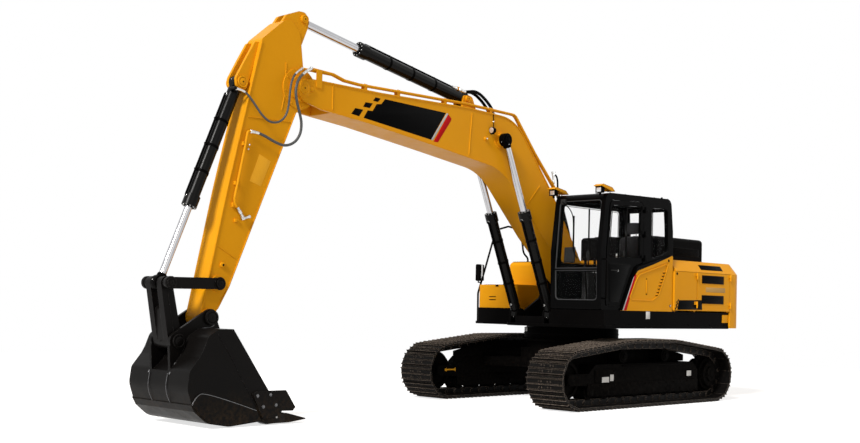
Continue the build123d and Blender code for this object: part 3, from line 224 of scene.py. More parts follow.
def glass(name, tint, alpha):
    s = Shader(name, alpha=alpha, specular=0.6)
    base = s.mix(s.noise(1.2, 2), tint, lighter(tint, 1.25))
    return s.finish(base, s.patches(3, 5, 0.3, 0.9, 0.02, 0.09, 0.6))


def plastic(name, colour, roughness=0.5, grain=900, gain=1.35):
    s = Shader(name, specular=0.02)
    base = s.mix(s.patches(4, 4, 0.3, 0.8), colour, lighter(colour, gain))
    rough = s.patches(12, 4, 0.3, 0.8, roughness - 0.06, roughness + 0.1)
    return s.finish(base, rough, s.noise(grain, 2), 0.25, 0.0004, 0.003)


def cloth(name, colour):
    s = Shader(name, sheen=0.08, specular=0.1)
    weave = s.node("ShaderNodeTexVoronoi", {"Scale": 420, "Vector": s.coordinates}).outputs["Distance"]
    base = s.mix(weave, colour, lighter(colour, 2.2))
    return s.finish(base, s.patches(40, 4, 0.3, 0.8, 0.8, 0.95), weave, 0.5, 0.0012)


def braid(name, colour):
    """Woven hose cover: two crossing sets of fine waves."""
    s = Shader(name, specular=0.5)
    inputs = {"Scale": 120, "Distortion": 1.5, "Vector": s.coordinates}
    waves = [s.node("ShaderNodeTexWave", inputs, bands_direction=way).outputs["Fac"] for way in ("X", "Z")]
    both = s.maths("MULTIPLY", *waves)
    base = s.mix(both, colour, lighter(colour, 3.0))
    return s.finish(base, s.patches(60, 3, 0.3, 0.8, 0.38, 0.55), both, 0.5, 0.001)


def lens_glass():
    s = Shader("lamp_lens", specular=0.8, coat=1.0, metallic=0.6)
    inputs = {"Scale": 60, "Vector": s.coordinates}
    ribs = s.node("ShaderNodeTexWave", inputs, bands_direction="Z").outputs["Fac"]
    base = s.mix(ribs, (0.55, 0.56, 0.58), (0.85, 0.86, 0.88))
    return s.finish(base, s.patches(30, 2, 0.3, 0.8, 0.12, 0.25), ribs, 0.3, 0.001)


MATERIALS = {
    "yellow": paint("yellow_paint", (0.77, 0.330, 0.007), (0.72, 0.298, 0.006), 0.34, 0.05),
    # black: the grey on its edges is partly rubbed-bare paint, partly a painted edge highlight
    "black": paint("black_paint", (0.0016, 0.0014, 0.0014), (0.0028, 0.0025, 0.0025), 0.36, 0.01,
                   edge_wear_and_highlight=(0.05, 0.05, 0.05)),
    "barrel": paint("cylinder_black", (0.0022, 0.0021, 0.002), (0.0034, 0.0032, 0.003), 0.24, 0.09),
    # bucket: browner towards the bottom, below 0.4 m; its lighter edges are partly rubbed-bare steel, partly
    # a painted edge highlight
    "bucket": paint("bucket_black", (0.0026, 0.0022, 0.002), (0.005, 0.0043, 0.004), 0.36, 0.06,
                    low_tint=(0.085, 0.052, 0.026), low_tint_top=0.40, edge_wear_and_highlight=(0.14, 0.13, 0.13), edge_wear_and_highlight_share=0.4),
    # undercarriage: dusty near the ground; the grey on its edges is partly rubbed-bare paint, partly a
    # painted edge highlight
    "undercarriage": paint("undercarriage_black", (0.0018, 0.0016, 0.0015), (0.0034, 0.003, 0.0028), 0.5,
                           0.005, low_tint=(0.02, 0.017, 0.015), low_tint_top=1.1, edge_wear_and_highlight=(0.06, 0.055, 0.05)),
    "cab": paint("cab_black", (0.0016, 0.0016, 0.0017), (0.0026, 0.0026, 0.0027), 0.2, 0.02),
    "shoes": track_shoes(),
    "chrome": chrome(),
    "pin": steel("steel_pin", (0.30, 0.29, 0.28), 0.38, 0.25),
    "zinc": steel("zinc_fitting", (0.72, 0.72, 0.70), 0.28),
    "cast": plastic("engine_grey", (0.06, 0.062, 0.065), 0.5, 300),
    "alloy": steel("cooler_alloy", (0.45, 0.45, 0.46), 0.45),
    "glass": glass("cab_glazing", (0.016, 0.020, 0.020), 0.025),
    "cloth": cloth("seat_cloth", (0.010, 0.010, 0.011)),
    "plastic": plastic("plastic_dark", (0.022, 0.022, 0.022)),
    "rubber": plastic("rubber_black", (0.003, 0.003, 0.003), 0.6, 500),
    "seal": plastic("seal_grey", (0.045, 0.046, 0.048), 0.5, 500),
    "braid": braid("hose_braid", (0.032, 0.034, 0.034)),
    "lens": lens_glass(),
    "white": plastic("white_plate", (0.66, 0.66, 0.65), 0.4, 700, 1.08),
    # grey steel for the bucket's weld beads and cutter bolts; on the beads the light grey is a painted
    # highlight
    "weld": steel("weld_bead", (0.16, 0.16, 0.165), 0.4),
    "red": plastic("red_stripe", (0.50, 0.009, 0.011), 0.35, 700, 1.1),
    "silver": plastic("silver_stripe", (0.48, 0.49, 0.50), 0.3, 700, 1.12),
    "plate_black": plastic("plate_black", (0.0012, 0.0012, 0.0013), 0.35, 700, 1.3),
    "label_tan": plastic("label_tan", (0.50, 0.30, 0.10), 0.4, 700, 1.05),
    "label_yellow": plastic("label_yellow", (0.92, 0.44, 0.03), 0.35, 700, 1.05),
}

NODE_MATERIALS = {
    "undercarriage": "carbody swing_bearing rollers_left idler_left sprocket_left track_frame_left "
                     "rollers_right idler_right sprocket_right track_frame_right",
    "yellow": "counterweight engine_bay left_side_panel pump_bay fuel_tank oil_tank tool_box left_front_door "
              "left_rear_door right_pump_door tool_box_lid boom arm",
    "black": "main_frame engine_hood",
    "shoes": "track_left track_right",
    "cast": "engine_block",
    "alloy": "radiator",
    "cab": "cab_shell cab_door",
    "glass": "cab_glass door_glass",
    "cloth": "operator_seat",
    "plastic": "cab_consoles",
    "bucket": "bucket idler_links h_link",
    "barrel": "boom_cylinder_barrels arm_cylinder_barrel bucket_cylinder_barrel",
    "chrome": "boom_cylinder_rods arm_cylinder_rod bucket_cylinder_rod",
}
for key, names in NODE_MATERIALS.items():
    for node_name in names.split():
        NODES[node_name].data.materials.clear()
        NODES[node_name].data.materials.append(MATERIALS[key])


# Mesh building. Places are in millimetres from the swing axis until a piece is done.

def axes_of(direction):
    """Three unit vectors, the last along a direction."""
    z = Vector(direction).normalized()
    x = z.orthogonal().normalized()
    return x, z.cross(x), z


def on(place, y):
    """The point in space over a place (x, z)."""
    return place[0], y, place[1]


def circle(part, centre, across, up, radius, sides):
    """A ring of vertices round a centre."""
    turns = (2 * math.pi * k / sides for k in range(sides))
    return [part.verts.new(centre + (across * math.cos(t) + up * math.sin(t)) * radius) for t in turns]


def skin(part, loops, closed):
    """Faces between loops of vertices, which close on the first loop or have their two ends filled."""
    for a, b in zip(loops, loops[1:] + loops[:closed]):
        for k in range(len(a)):
            n = (k + 1) % len(a)
            part.faces.new((a[k], a[n], b[n], b[k]))
    if not closed:
        part.faces.new(loops[0])
        part.faces.new(loops[-1])


def smooth_line(route):
    """Points along the smooth line whose control points are a route's."""
    curve = bpy.data.curves.new("route", "CURVE")
    curve.dimensions = "3D"
    curve.resolution_u = 10
    spline = curve.splines.new("NURBS")
    spline.points.add(len(route) - 1)
    for point, place in zip(spline.points, route):
        point.co = (*place, 1)
    spline.order_u = 3
    spline.use_endpoint_u = True
    holder = bpy.data.objects.new("route", curve)
    mesh = bpy.data.meshes.new_from_object(holder)
    points = [vertex.co.copy() for vertex in mesh.vertices]
    bpy.data.objects.remove(holder)
    bpy.data.curves.remove(curve)
    bpy.data.meshes.remove(mesh)
    return points


def rectangle(x0, x1, z0, z1):
    """The corners (x, z) of an upright rectangle."""
    return (x0, z0), (x1, z0), (x1, z1), (x0, z1)


def rising(x0, x1, y0, y1, z0, z1):
    """The corners of a flat plate that rises from z0 at x0 to z1 at x1."""
    return [(x, y, z0 if x == x0 else z1) for x, y in rectangle(x0, x1, y0, y1)]


def standing(x0, x1, y0, y1, z0, z1):
    """The corners of an upright plate across X that leans from x0 at its foot to x1 at its top."""
    return [(x0 if z == z0 else x1, y, z) for y, z in rectangle(y0, y1, z0, z1)]


def arc_corners(outline, steps=5):
    """An outline of (x, z, corner radius) with each corner drawn as a short arc."""
    drawn = []
    for i, (x, z, radius) in enumerate(outline):
        radius = max(radius, 1)
        here = Vector((x, z))
        before = (Vector(outline[i - 1][:2]) - here).normalized()
        after = (Vector(outline[(i + 1) % len(outline)][:2]) - here).normalized()
        half = before.angle(after) / 2
        reach = radius / math.tan(half)
        centre = here + (before + after).normalized() * (radius / math.sin(half))
        first, last = here + before * reach - centre, here + after * reach - centre
        turn = first.angle_signed(last)
        for k in range(steps + 1):
            c, s = math.cos(-turn * k / steps), math.sin(-turn * k / steps)
            drawn.append((centre.x + first.x * c - first.y * s, centre.y + first.x * s + first.y * c))
    return drawn


def open_line(outline):
    """The line through corners (x, z, radius), rounded at all but its two ends."""
    rounded = arc_corners(outline, 10)
    return [outline[0][:2]] + rounded[11:-11] + [outline[-1][:2]]


def shrunk(outline, distance):
    """An outline with each corner moved in on both axes, or out where the distance is negative."""
    mid_x = sum(c[0] for c in outline) / len(outline)
    mid_z = sum(c[1] for c in outline) / len(outline)
    return [(x + math.copysign(distance, mid_x - x), z + math.copysign(distance, mid_z - z),
             max(r - distance, 4))
            for x, z, r in outline]


class Piece:
    """One mesh piece on a body, gathered from bevelled solids that may differ in material."""

    def __init__(self, name, body, slot, key):
        self.name, self.body, self.slot = name, body, slot
        self.mesh = bmesh.new()
        self.keys = []
        self.use(key)

    def use(self, key):
        """The material of what is added from here on."""
        if key not in self.keys:
            self.keys.append(key)
        self.index = self.keys.index(key)
        return self

    def add(self, part, bevel=0.0):
        """Takes in a closed solid with its sharp edges bevelled."""
        bmesh.ops.recalc_face_normals(part, faces=part.faces)
        if bevel:
            sharp = [e for e in part.edges if len(e.link_faces) == 2
                     and e.calc_face_angle(0) > math.radians(35)]
            bmesh.ops.bevel(part, geom=sharp, offset=bevel, offset_type="OFFSET", segments=2, profile=0.5,
                            affect="EDGES", clamp_overlap=True)
        for face in part.faces:
            face.material_index = self.index
        held = bpy.data.meshes.new("held")
        part.to_mesh(held)
        part.free()
        self.mesh.from_mesh(held)
        bpy.data.meshes.remove(held)
        return self

    def box(self, x0, x1, y0, y1, z0, z1, bevel=2.0):
        part = bmesh.new()
        middle = Matrix.Translation(((x0 + x1) / 2, (y0 + y1) / 2, (z0 + z1) / 2))
        size = Matrix.Diagonal((abs(x1 - x0), abs(y1 - y0), abs(z1 - z0), 1))
        bmesh.ops.create_cube(part, size=1, matrix=middle @ size)
        return self.add(part, bevel)

    def turned(self, origin, axis, profile, sides, bevel, closed):
        part = bmesh.new()
        x, y, z = axes_of(axis)
        loops = [circle(part, Vector(origin) + z * d, x, y, radius, sides) for d, radius in profile]
        skin(part, loops, closed)
        return self.add(part, bevel)

    def lathe(self, origin, axis, profile, sides=24):
        """A turned solid along an axis from (distance, radius) pairs."""
        return self.turned(origin, axis, profile, sides, 0, False)

    def band(self, origin, axis, inner, outer, depth, sides=32, bevel=1.5):
        """A ring with a square section, from an inner to an outer radius."""
        profile = ((0, inner), (0, outer), (depth, outer), (depth, inner))
        return self.turned(origin, axis, profile, sides, bevel, True)

    def bolt(self, origin, axis, size=10.0, washer=True):
        """A hexagon head of the given half width, on its washer."""
        axis = Vector(axis).normalized()
        foot = Vector(origin) - axis
        if washer:
            self.lathe(foot, axis, [(0, size * 1.3), (1 + size * 0.25, size * 1.3)], 16)
        return self.lathe(foot, axis, [(0, size), (1 + size * 0.8, size), (1 + size, size * 0.8)], 6)

    def bolts(self, centre, axis, radius, count, size=10.0, start=0.0, washer=True):
        """A circle of bolts round an axis."""
        x, y, z = axes_of(axis)
        for k in range(count):
            turn = start + 2 * math.pi * k / count
            self.bolt(Vector(centre) + (x * math.cos(turn) + y * math.sin(turn)) * radius, z, size, washer)
        return self

    def prism(self, corners, shift, bevel=1.5):
        """A plate from its corners in space, as thick as the shift."""
        part = bmesh.new()
        base = [part.verts.new(Vector(c)) for c in corners]
        top = [part.verts.new(Vector(c) + Vector(shift)) for c in corners]
        part.faces.new(base)
        part.faces.new(list(reversed(top)))
        for k in range(len(base)):
            n = (k + 1) % len(base)
            part.faces.new((base[k], base[n], top[n], top[k]))
        return self.add(part, bevel)

    def plate(self, outline, y0, y1, bevel=1.5):
        """A plate across Y from corners (x, z)."""
        return self.prism([(x, y0, z) for x, z in outline], (0, y1 - y0, 0), bevel)

    def label(self, key, outline, y, side, proud=1.2, bevel=0.5):
        """A sign, stripe or label of its own material that stands a little proud of a face."""
        return self.use(key).plate(outline, y - side, y + side * proud, bevel)

    def ring_of(self, outer, inner, shift, bevel=1.5):
        """A frame between two outlines in space with the same number of corners."""
        part = bmesh.new()
        pairs = ((outer, Vector()), (outer, Vector(shift)), (inner, Vector(shift)), (inner, Vector()))
        skin(part, [[part.verts.new(Vector(c) + move) for c in outline] for outline, move in pairs], True)
        return self.add(part, bevel)

    def tube(self, points, radius, sides=14):
        """A round bar through points, with flat ends."""
        part = bmesh.new()
        points = [Vector(p) for p in points]
        ways = [(b - a).normalized() for a, b in zip(points, points[1:])]
        across = ways[0].orthogonal().normalized()
        rings = []
        for i, point in enumerate(points):
            way = (ways[max(i - 1, 0)] + ways[min(i, len(ways) - 1)]).normalized()
            across = (across - way * across.dot(way)).normalized()
            rings.append(circle(part, point, across, way.cross(across), radius, sides))
        skin(part, rings, False)
        return self.add(part)

    def pipe(self, route, radius, sides=12):
        """A bent pipe along the smooth line of a route."""
        return self.tube(smooth_line(route), radius, sides)

    def beads(self, lines, y, radius, sides=8):
        """Welds or seams along lines of (x, z) on a side face."""
        for line in lines:
            self.tube([(x, y, z) for x, z in line], radius, sides)
        return self

    def strip(self, line, depth, y0, y1):
        """A flange along a line of (x, z), as deep as given to the line's left."""
        points = [Vector(p) for p in line]
        inner = []
        for i, here in enumerate(points):
            way = (points[min(i + 1, len(points) - 1)] - points[max(i - 1, 0)]).normalized()
            inner.append((here.x - way.y * depth, here.y + way.x * depth))
        return self.plate([tuple(p) for p in points] + inner[::-1], y0, y1)

    def boss(self, x, z, y, side, radius, depth=16, key="bucket"):
        """A pin's end in a painted boss: a collar, a cap and a countersunk screw."""
        foot, axis = (x, y - side * 2, z), (0, side, 0)
        self.use(key).band(foot, axis, radius * 0.72, radius, depth, 36, 3)
        cap = [(0, radius * 0.66), (depth - 4, radius * 0.66), (depth - 1, radius * 0.58)]
        self.lathe(foot, axis, cap, 32)
        return self.use("rubber").lathe((x, y + side * (depth - 5), z), axis, [(0, 9), (5, 9)], 6)

    def done(self, angle=35, ride=True):
        """Makes the object, in metres in the part's frame, and sets it on its body."""
        mesh = bpy.data.meshes.new(self.name)
        self.mesh.transform(TO_FRAME)
        self.mesh.to_mesh(mesh)
        self.mesh.free()
        for key in self.keys:
            mesh.materials.append(MATERIALS[key])
        mesh.polygons.foreach_set("use_smooth", [True] * len(mesh.polygons))
        mesh.set_sharp_from_angle(angle=math.radians(angle))
        obj = bpy.data.objects.new(self.name, mesh)
        scene.collection.objects.link(obj)
        if ride:
            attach(obj, self.body)
        return obj


# Two braided hoses beside the arm's pivot, the control points of their lines

BUCKET_HOSE = ((5437, 178, 4075), (5563, 225, 4011), (5655, 262, 3887), (5683, 275, 3755), (5690, 272, 3616),
               (5714, 262, 3482), (5801, 248, 3392), (5924, 232, 3377), (6024, 212, 3449), (6094, 190, 3546),
               (6162, 165, 3641), (6229, 140, 3707), (6316, 118, 3719))
ARM_HOSE = ((5325, 208, 4090), (5464, 245, 4018), (5584, 282, 3902), (5625, 300, 3767), (5595, 298, 3644),
            (5548, 290, 3536), (5501, 278, 3422), (5506, 266, 3289), (5579, 252, 3183), (5705, 238, 3132),
            (5838, 222, 3164), (5961, 205, 3219), (6069, 188, 3252), (6138, 177, 3254))


def ferrule(piece, points, radius):
    """The crimped sleeve and hexagon nut on a hose's end, which is at the first point."""
    way = points[4] - points[0]
    sleeve = ((-2, 2), (6, 4), (30, 4), (34, 2.5), (40, 4), (44, 2.5), (50, 4), (56, 1))
    nut = ((-4, 7), (12, 7), (14, 5))
    for axis, profile, sides in ((way, sleeve, 20), (-way, nut, 6)):
        piece.lathe(points[0], axis, [(distance, radius + more) for distance, more in profile], sides)
    piece.tube(points[:9], radius + 1.5, 20)


def hose(name, route, radius, bodies, key="braid"):
    """A hose with a crimped fitting on each end. The two at the arm's pivot replace the plain hoses."""
    points = smooth_line(route)
    obj = Piece(name, None, "hose_rubber", key).tube(points, radius, 20).done(60, ride=False)
    for end, body, line in zip(("first", "last"), bodies, (points, points[::-1])):
        fitting = Piece(f"{name}_{end}_fitting", body, "steel_pin", "zinc")
        ferrule(fitting, line, radius)
        fitting.done()
    if bodies == ("boom", "arm"):
        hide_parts("arm_hoses")
        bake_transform(obj)
    else:
        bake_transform(obj)


# The line (x, z) of the two thick hoses from the arm cylinder's foot over to the boom's top

BASE_HOSE = ((2580, 4256), (2520, 4246), (2420, 4264), (2311, 4286), (2210, 4268), (2120, 4226), (2030, 4168),
             (1955, 4105), (1905, 4040), (1884, 3984))

hose("bucket_cylinder_hose", BUCKET_HOSE, 12.5, ("boom", "arm"))
hose("arm_pipe_hose", ARM_HOSE, 16, ("boom", "arm"))
for hose_name, hose_y in (("left", 42), ("right", -42)):
    hose_route = [(x, hose_y, z) for x, z in BASE_HOSE]
    hose(f"arm_cylinder_hose_{hose_name}", hose_route, 21, ("arm_cylinder_barrel", "boom"), "rubber")


# Pins of the working linkage, as places (x, z): each cylinder's foot and rod eye, and the pivots between them

BOOM_FOOT, BOOM_EYE = (900, 1250), (1950, 3640)
ARM_FOOT, ARM_EYE = (2500, 4150), (5363, 4680)
BUCKET_FOOT, BUCKET_EYE = (6225, 3812), (7165, 1527)
ARM_PIN, BUCKET_PIN = (5440, 3840), (6630, 1162)
LINKS_PIN = (6520, 1535)  # the idler links on the arm
EAR_PIN = (7040, 910)  # the H link on the bucket's ears


# Boom

def lamp(piece, x, y, z, width, height, visor):
    """A square work lamp that looks forward, on its foot, under a visor that ends at the given x."""
    w, h = width / 2, height / 2
    piece.use("black").box(x - 70, x, y - w, y + w, z - h, z + h, 12)
    piece.box(x - 45, x - 20, y - 12, y + 12, z - h - 34, z - h + 4, 3)
    outlines = (rectangle(y - w + rim, y + w - rim, z - h + rim, z + h - rim) for rim in (0, 12))
    outer, inner = ([(x, *corner) for corner in outline] for outline in outlines)
    piece.use("rubber").ring_of(outer, inner, (8, 0, 0), 2)
    piece.use("lens").box(x - 4, x + 4, y - w + 12, y + w - 12, z - h + 12, z + h - 12, 3)
    half, top = w + 14, z + h + 8
    shell = [(x + 34, top), (x - 20, top + 26), (visor + 60, top - 8), (visor, top - 56)]
    cheek = shell + [(visor + 70, top - 62), (x - 40, top - 20)]
    for side in SIDES:
        piece.use("yellow").prism([(px, y + side * half, pz) for px, pz in cheek], (0, -side * 5, 0))
    for (x0, z0), (x1, z1) in zip(shell, shell[1:]):
        sheet = ((x0, z0), (x1, z1), (x1, z1 - 6), (x0, z0 - 6))
        piece.prism([(px, y - half, pz) for px, pz in sheet], (0, 2 * half, 0), 1)


BOOM_Y = 215
BOOM_PLATE = ((4136, 3900), (3041, 3874), (3307, 3491), (4488, 3621), (4422, 3722), (4343, 3723),
              (4276, 3818), (4199, 3829))
BOOM_SILVER = ((3026, 3873), (2994, 3868), (3272, 3488), (3307, 3491))
BOOM_RED = ((2994, 3864), (2934, 3813), (2943, 3781), (3179, 3471), (3260, 3472))
BOOM_SQUARES = (((4298, 3900), (4211, 3896), (4257, 3847), (4338, 3852)),
                ((4461, 3816), (4340, 3818), (4393, 3753), (4499, 3756)),
                ((4627, 3722), (4498, 3719), (4561, 3630), (4690, 3644)))
BOOM_LOWER = ((5130, 3625, 0), (4410, 3560, 0), (3150, 3405, 0), (1900, 3240, 900), (1020, 2375, 300),
              (170, 1660, 0))
BOOM_UPPER = ((160, 2145, 0), (830, 3050, 700), (1640, 3975, 700), (2600, 4005, 0), (4200, 3968, 0),
              (5180, 3970, 0))


def boom_pieces():
    signs = Piece("boom_stripes", "boom", "black_paint", "plate_black")
    for side in SIDES:
        for shape in (BOOM_PLATE, *BOOM_SQUARES):
            signs.label("plate_black", shape, side * BOOM_Y, side)
        signs.label("silver", BOOM_SILVER, side * BOOM_Y, side)
        signs.label("red", BOOM_RED, side * BOOM_Y, side)
    signs.done()

    trim = Piece("boom_fittings", "boom", "yellow_paint", "yellow")
    for side in SIDES:
        y = side * BOOM_Y
        trim.strip(open_line(BOOM_LOWER), -16, y - side * 2, y + side * 11)
        trim.strip(open_line(BOOM_UPPER), -16, y - side * 2, y + side * 9)
        trim.beads((((4990, 3652), (4990, 3944)), ((2535, 3940), (2560, 3656), (2578, 3372)),
                    ((1080, 3090), (1360, 2790))), y + side * 1.5, 7)
        trim.lathe(on(ARM_PIN, side * (BOOM_Y + 11)), (0, side, 0), [(0, 92), (6, 92), (8, 88)], 36)
        trim.boss(*ARM_PIN, side * (BOOM_Y + 20), side, 74, 16, "yellow")
        trim.use("yellow").box(5296, 5352, side * (BOOM_Y - 2), side * (BOOM_Y + 22), 3822, 3868, 5)
        trim.bolt((5312, side * (BOOM_Y + 22), 3845), (0, side, 0), 8)
        trim.boss(*BOOM_EYE, side * 357, side, 62, 14, "black")
        trim.boss(*ARM_FOOT, side * 110, side, 44, 14, "yellow")
        trim.use("yellow").band(on(BOOM_EYE, y - side * 2), (0, side, 0), 90, 122, 12, 36, 3)
    for x, z in ((2150, 4048), (3050, 4050), (3900, 4036), (4460, 4026)):
        trim.use("yellow").box(x - 22, x + 22, 158, 218, z, z + 14, 4)
        trim.use("zinc").bolt((x, 193, z + 14), (0, 0, 1), 8)
    trim.use("yellow").lathe((2260, BOOM_Y - 2, 3628), (0, 1, 0), [(0, 26), (18, 26), (22, 20)], 20)
    trim.use("zinc").lathe((2252, BOOM_Y + 18, 3628), (0, 1, 0), [(0, 12), (14, 12), (18, 8)], 6)
    # pipe ends at the boom's foot, their tee and the lines that go in below the deck
    for y in (208, 178):
        trim.use("zinc").lathe((618, y, 2986), (0.72, 0, 0.69), [(0, 18), (10, 23), (34, 23), (38, 18)], 6)
    trim.use("zinc").lathe((742, 196, 3150), (0.1, 0, 1),
                           [(0, 14), (10, 19), (44, 19), (52, 14), (120, 14)], 20)
    for end in ((716, 196, 3330), (780, 196, 3326)):
        trim.tube([(748, 196, 3240), end], 13)
    trim.use("rubber").pipe([(748, 190, 3262), (700, 188, 3300), (640, 186, 3240), (628, 184, 3130),
                             (620, 180, 3060)], 13)
    for y, route in ((208, ((628, 2978), (560, 2900), (470, 2760), (330, 2480), (250, 2250), (240, 2120))),
                     (178, ((628, 2978), (550, 2880), (450, 2700), (300, 2420), (200, 2200), (190, 2080)))):
        trim.use("rubber").pipe([(x, y - 12 * i, z) for i, (x, z) in enumerate(route)], 15)
    # round work lamp with its cable
    trim.use("black").lathe((2120, 262, 3752), (1, 0, -0.05),
                            [(0, 22), (10, 36), (46, 44), (62, 46), (70, 42)], 28)
    trim.use("lens").lathe((2186, 262, 3749), (1, 0, -0.05), [(0, 38), (6, 38), (9, 30)], 28)
    trim.use("black").box(2130, 2158, 214, 268, 3700, 3714, 3)
    trim.use("rubber").pipe([(2124, 250, 3760), (2104, 226, 3800), (2108, 222, 3880), (2110, 221, 3984)], 5)
    trim.use("zinc").lathe((2108, 214, 3880), (0, 1, 0), [(0, 12), (12, 12), (15, 8)], 6)
    trim.done()


boom_pieces()


# Arm

ARM_Y = 136
ARM_REAR = ((5482, 3545), (5877, 2623), (6352, 1510), (6500, 1252))
ARM_FRONT = ((6705, 1262), (6421, 2581), (6182, 3570), (5998, 4310))


def arm_pieces():
    trim = Piece("arm_fittings", "arm", "yellow_paint", "yellow")
    for side in SIDES:
        y = side * ARM_Y
        trim.use("yellow")
        for line in (ARM_REAR, ARM_FRONT):
            trim.strip(line, 14, y - side * 2, y + side * 8)
        trim.beads((((5690, 3560), (5640, 3800), (5640, 4120)), ((6522, 1948), (6294, 1826)),
                    ((6160, 3420), (5560, 3440))), y + side * 1.5, 6)
        trim.boss(*ARM_EYE, side * 118, side, 50, 14, "yellow")
        trim.boss(*BUCKET_FOOT, side * 105, side, 68, 16, "yellow")
        trim.boss(*LINKS_PIN, side * 206, side, 58, 22)
        trim.use("yellow").bolts(on(ARM_PIN, side * 147), (0, side, 0), 214, 8, 9, 0.2)
        trim.label("label_yellow", ((5986, 3020), (5823, 2952), (5954, 2653), (6114, 2703)), y, side)
        trim.use("yellow").lathe((6454, y - side, 1742), (0, side, 0), [(0, 34), (18, 34), (24, 24)], 24)
        trim.use("rubber").lathe((6454, y + side * 22, 1742), (0, side, 0), [(0, 13), (3, 13)], 16)
        for x, z in ((6129, 3110), (6142, 3058)):
            trim.use("zinc").bolt((x, y, z), (0, side, 0), 8)
    # the pipe's end with its shut-off tee
    trim.use("yellow").tube([(6340, 172, 2500), (6334, 172, 2440), (6300, 172, 2390)], 16, 14)
    trim.box(6306, 6352, 134, 158, 2388, 2440, 4).box(6268, 6316, 134, 160, 2226, 2262, 4)
    trim.use("zinc")
    way = Vector((-90, 0, -120)).normalized()
    fittings = ((0, [(0, 21), (30, 21), (34, 16)], 6),
                (34, [(0, 15), (8, 20), (46, 20), (52, 15), (70, 15)], 20),
                (104, [(0, 21), (26, 21), (30, 18)], 6),
                (134, [(0, 18), (22, 18)], 16))
    for start, profile, sides in fittings:
        trim.lathe(Vector((6298, 172, 2388)) + way * start, way, profile, sides)
    trim.lathe((6240, 172, 2262), (-0.9, 0, 0.3),
               [(0, 14), (14, 19), (46, 19), (52, 14), (96, 14), (100, 20), (120, 20)], 20)
    for x, z in ((6208, 3110), (6302, 2660)):
        trim.use("yellow").bolt((x, 176, z), (0, 1, 0), 8)
    trim.done()


arm_pieces()


# Cylinders: hard line and bands along each barrel, ring of gland bolts, grease nipples at the eyes

EYES = {45: (85, 42), 50: (90, 50), 42: (80, 48)}  # the rod's radius to its eye's radius and half width


def cylinder_pieces(name, foot, eye, y, barrel, rod, gland, up, barrel_body, rod_body):
    """Fittings of one cylinder; up is 1 where its line runs above the barrel and -1 below."""
    along = Vector((eye[0] - foot[0], 0, eye[1] - foot[1])).normalized()
    off = Vector((-along.z, 0, along.x)) * up

    def place(d, height):
        return Vector(on(foot, y)) + along * d + off * height

    trim = Piece(name + "_trim", barrel_body, "black_paint", "black")
    first, last = 190, gland - 100
    line = ((first, -6), (first, 14), (first + 8, 18), (first + 60, 18),
            (last - 60, 18), (last - 8, 18), (last, 14), (last, -6))
    trim.pipe([place(d, barrel + height) for d, height in line], 13)
    for d in (first, last):
        trim.use("zinc").lathe(place(d, barrel - 4), off, [(0, 22), (14, 22), (18, 16)], 6)
    for share in (0.25, 0.5, 0.75):
        d = first + (last - first) * share
        trim.use("black").band(place(d - 16, 0), along, barrel - 2, barrel + 4, 32, 32, 1)
        saddle = place(d, barrel + 12)
        trim.box(saddle.x - 16, saddle.x + 16, saddle.y - 20, saddle.y + 20, saddle.z - 14, saddle.z + 14, 3)
    trim.use("zinc").bolts(place(gland, 0), along, (rod + barrel + 14) / 2 + 4, 10, 8, 0.2, washer=False)
    trim.use("rubber").band(place(gland - 2, 0), along, rod + 1, rod + 12, 8, 32, 2)
    trim.use("zinc").lathe(place(0, barrel + 2), off, [(0, 7), (8, 7), (14, 4)], 8)
    trim.done()

    # painted eye on the rod's end
    length = math.dist(foot, eye)
    cover = Piece(name + "_rod_eye", rod_body, "black_paint", "black")
    radius, half = EYES[rod]
    cover.band(on(eye, y - half - 1.5), (0, 1, 0), radius * 0.55, radius + 4, 2 * half + 3, 40, 4)
    cover.lathe(place(length - radius - 26, 0), along, [(0, rod + 3), (6, rod + 8), (40, rod + 14)], 32)
    cover.use("zinc").lathe(place(length, 0) + off * (radius + 2), off, [(0, 6), (8, 6), (12, 3)], 8)
    cover.done()


for side, which in ((1, "left"), (-1, "right")):
    cylinder_pieces(f"boom_cylinder_{which}", BOOM_FOOT, BOOM_EYE, side * 310, 75, 45, 1570, -1,
                    "boom_cylinder_barrels", "boom_cylinder_rods")
cylinder_pieces("arm_cylinder", ARM_FOOT, ARM_EYE, 0, 82, 50, 1950, 1,
                "arm_cylinder_barrel", "arm_cylinder_rod")
cylinder_pieces("bucket_cylinder", BUCKET_FOOT, BUCKET_EYE, 0, 72, 42, 1560, 1,
                "bucket_cylinder_barrel", "bucket_cylinder_rod")


def arm_cylinder_ports():
    ports = Piece("arm_cylinder_ports", "arm_cylinder_barrel", "steel_pin", "zinc")
    way = (Vector(on(ARM_EYE, 0)) - Vector(on(ARM_FOOT, 0))).normalized()
    port = [(0, 27), (28, 27), (32, 19), (62, 19), (66, 26), (98, 26), (102, 16), (150, 16)]
    for y in (42, -42):
        ports.lathe((2600, y, 4258), way, port, 20)
        ports.lathe((2690, y, 4255), (-0.18, 0, 0.98), [(0, 16), (14, 16), (34, 13)], 20)
    ports.use("yellow").box(2630, 2668, -64, 64, 4250, 4296, 5)
    ports.done()


arm_cylinder_ports()


# Bucket and its links

TOOTH_PLACES = [511 * (2 * i / 4 - 1) for i in range(5)]
TOOTH_SIDE = ((6190, 64), (6120, 128), (5900, 132), (5880, 118), (5870, 22), (6120, 10), (6190, 40))
EAR_WELDS = (
    (201, 6, ((6545, 1125), (6600, 1058), (6700, 1052), (6760, 1040))),
    (201, 9, ((7060, 680), (7100, 620), (7136, 560))),
    (172, 3.5, ((7136, 572), (7146, 520), (7156, 440), (7148, 378), (7130, 320), (7096, 262))))


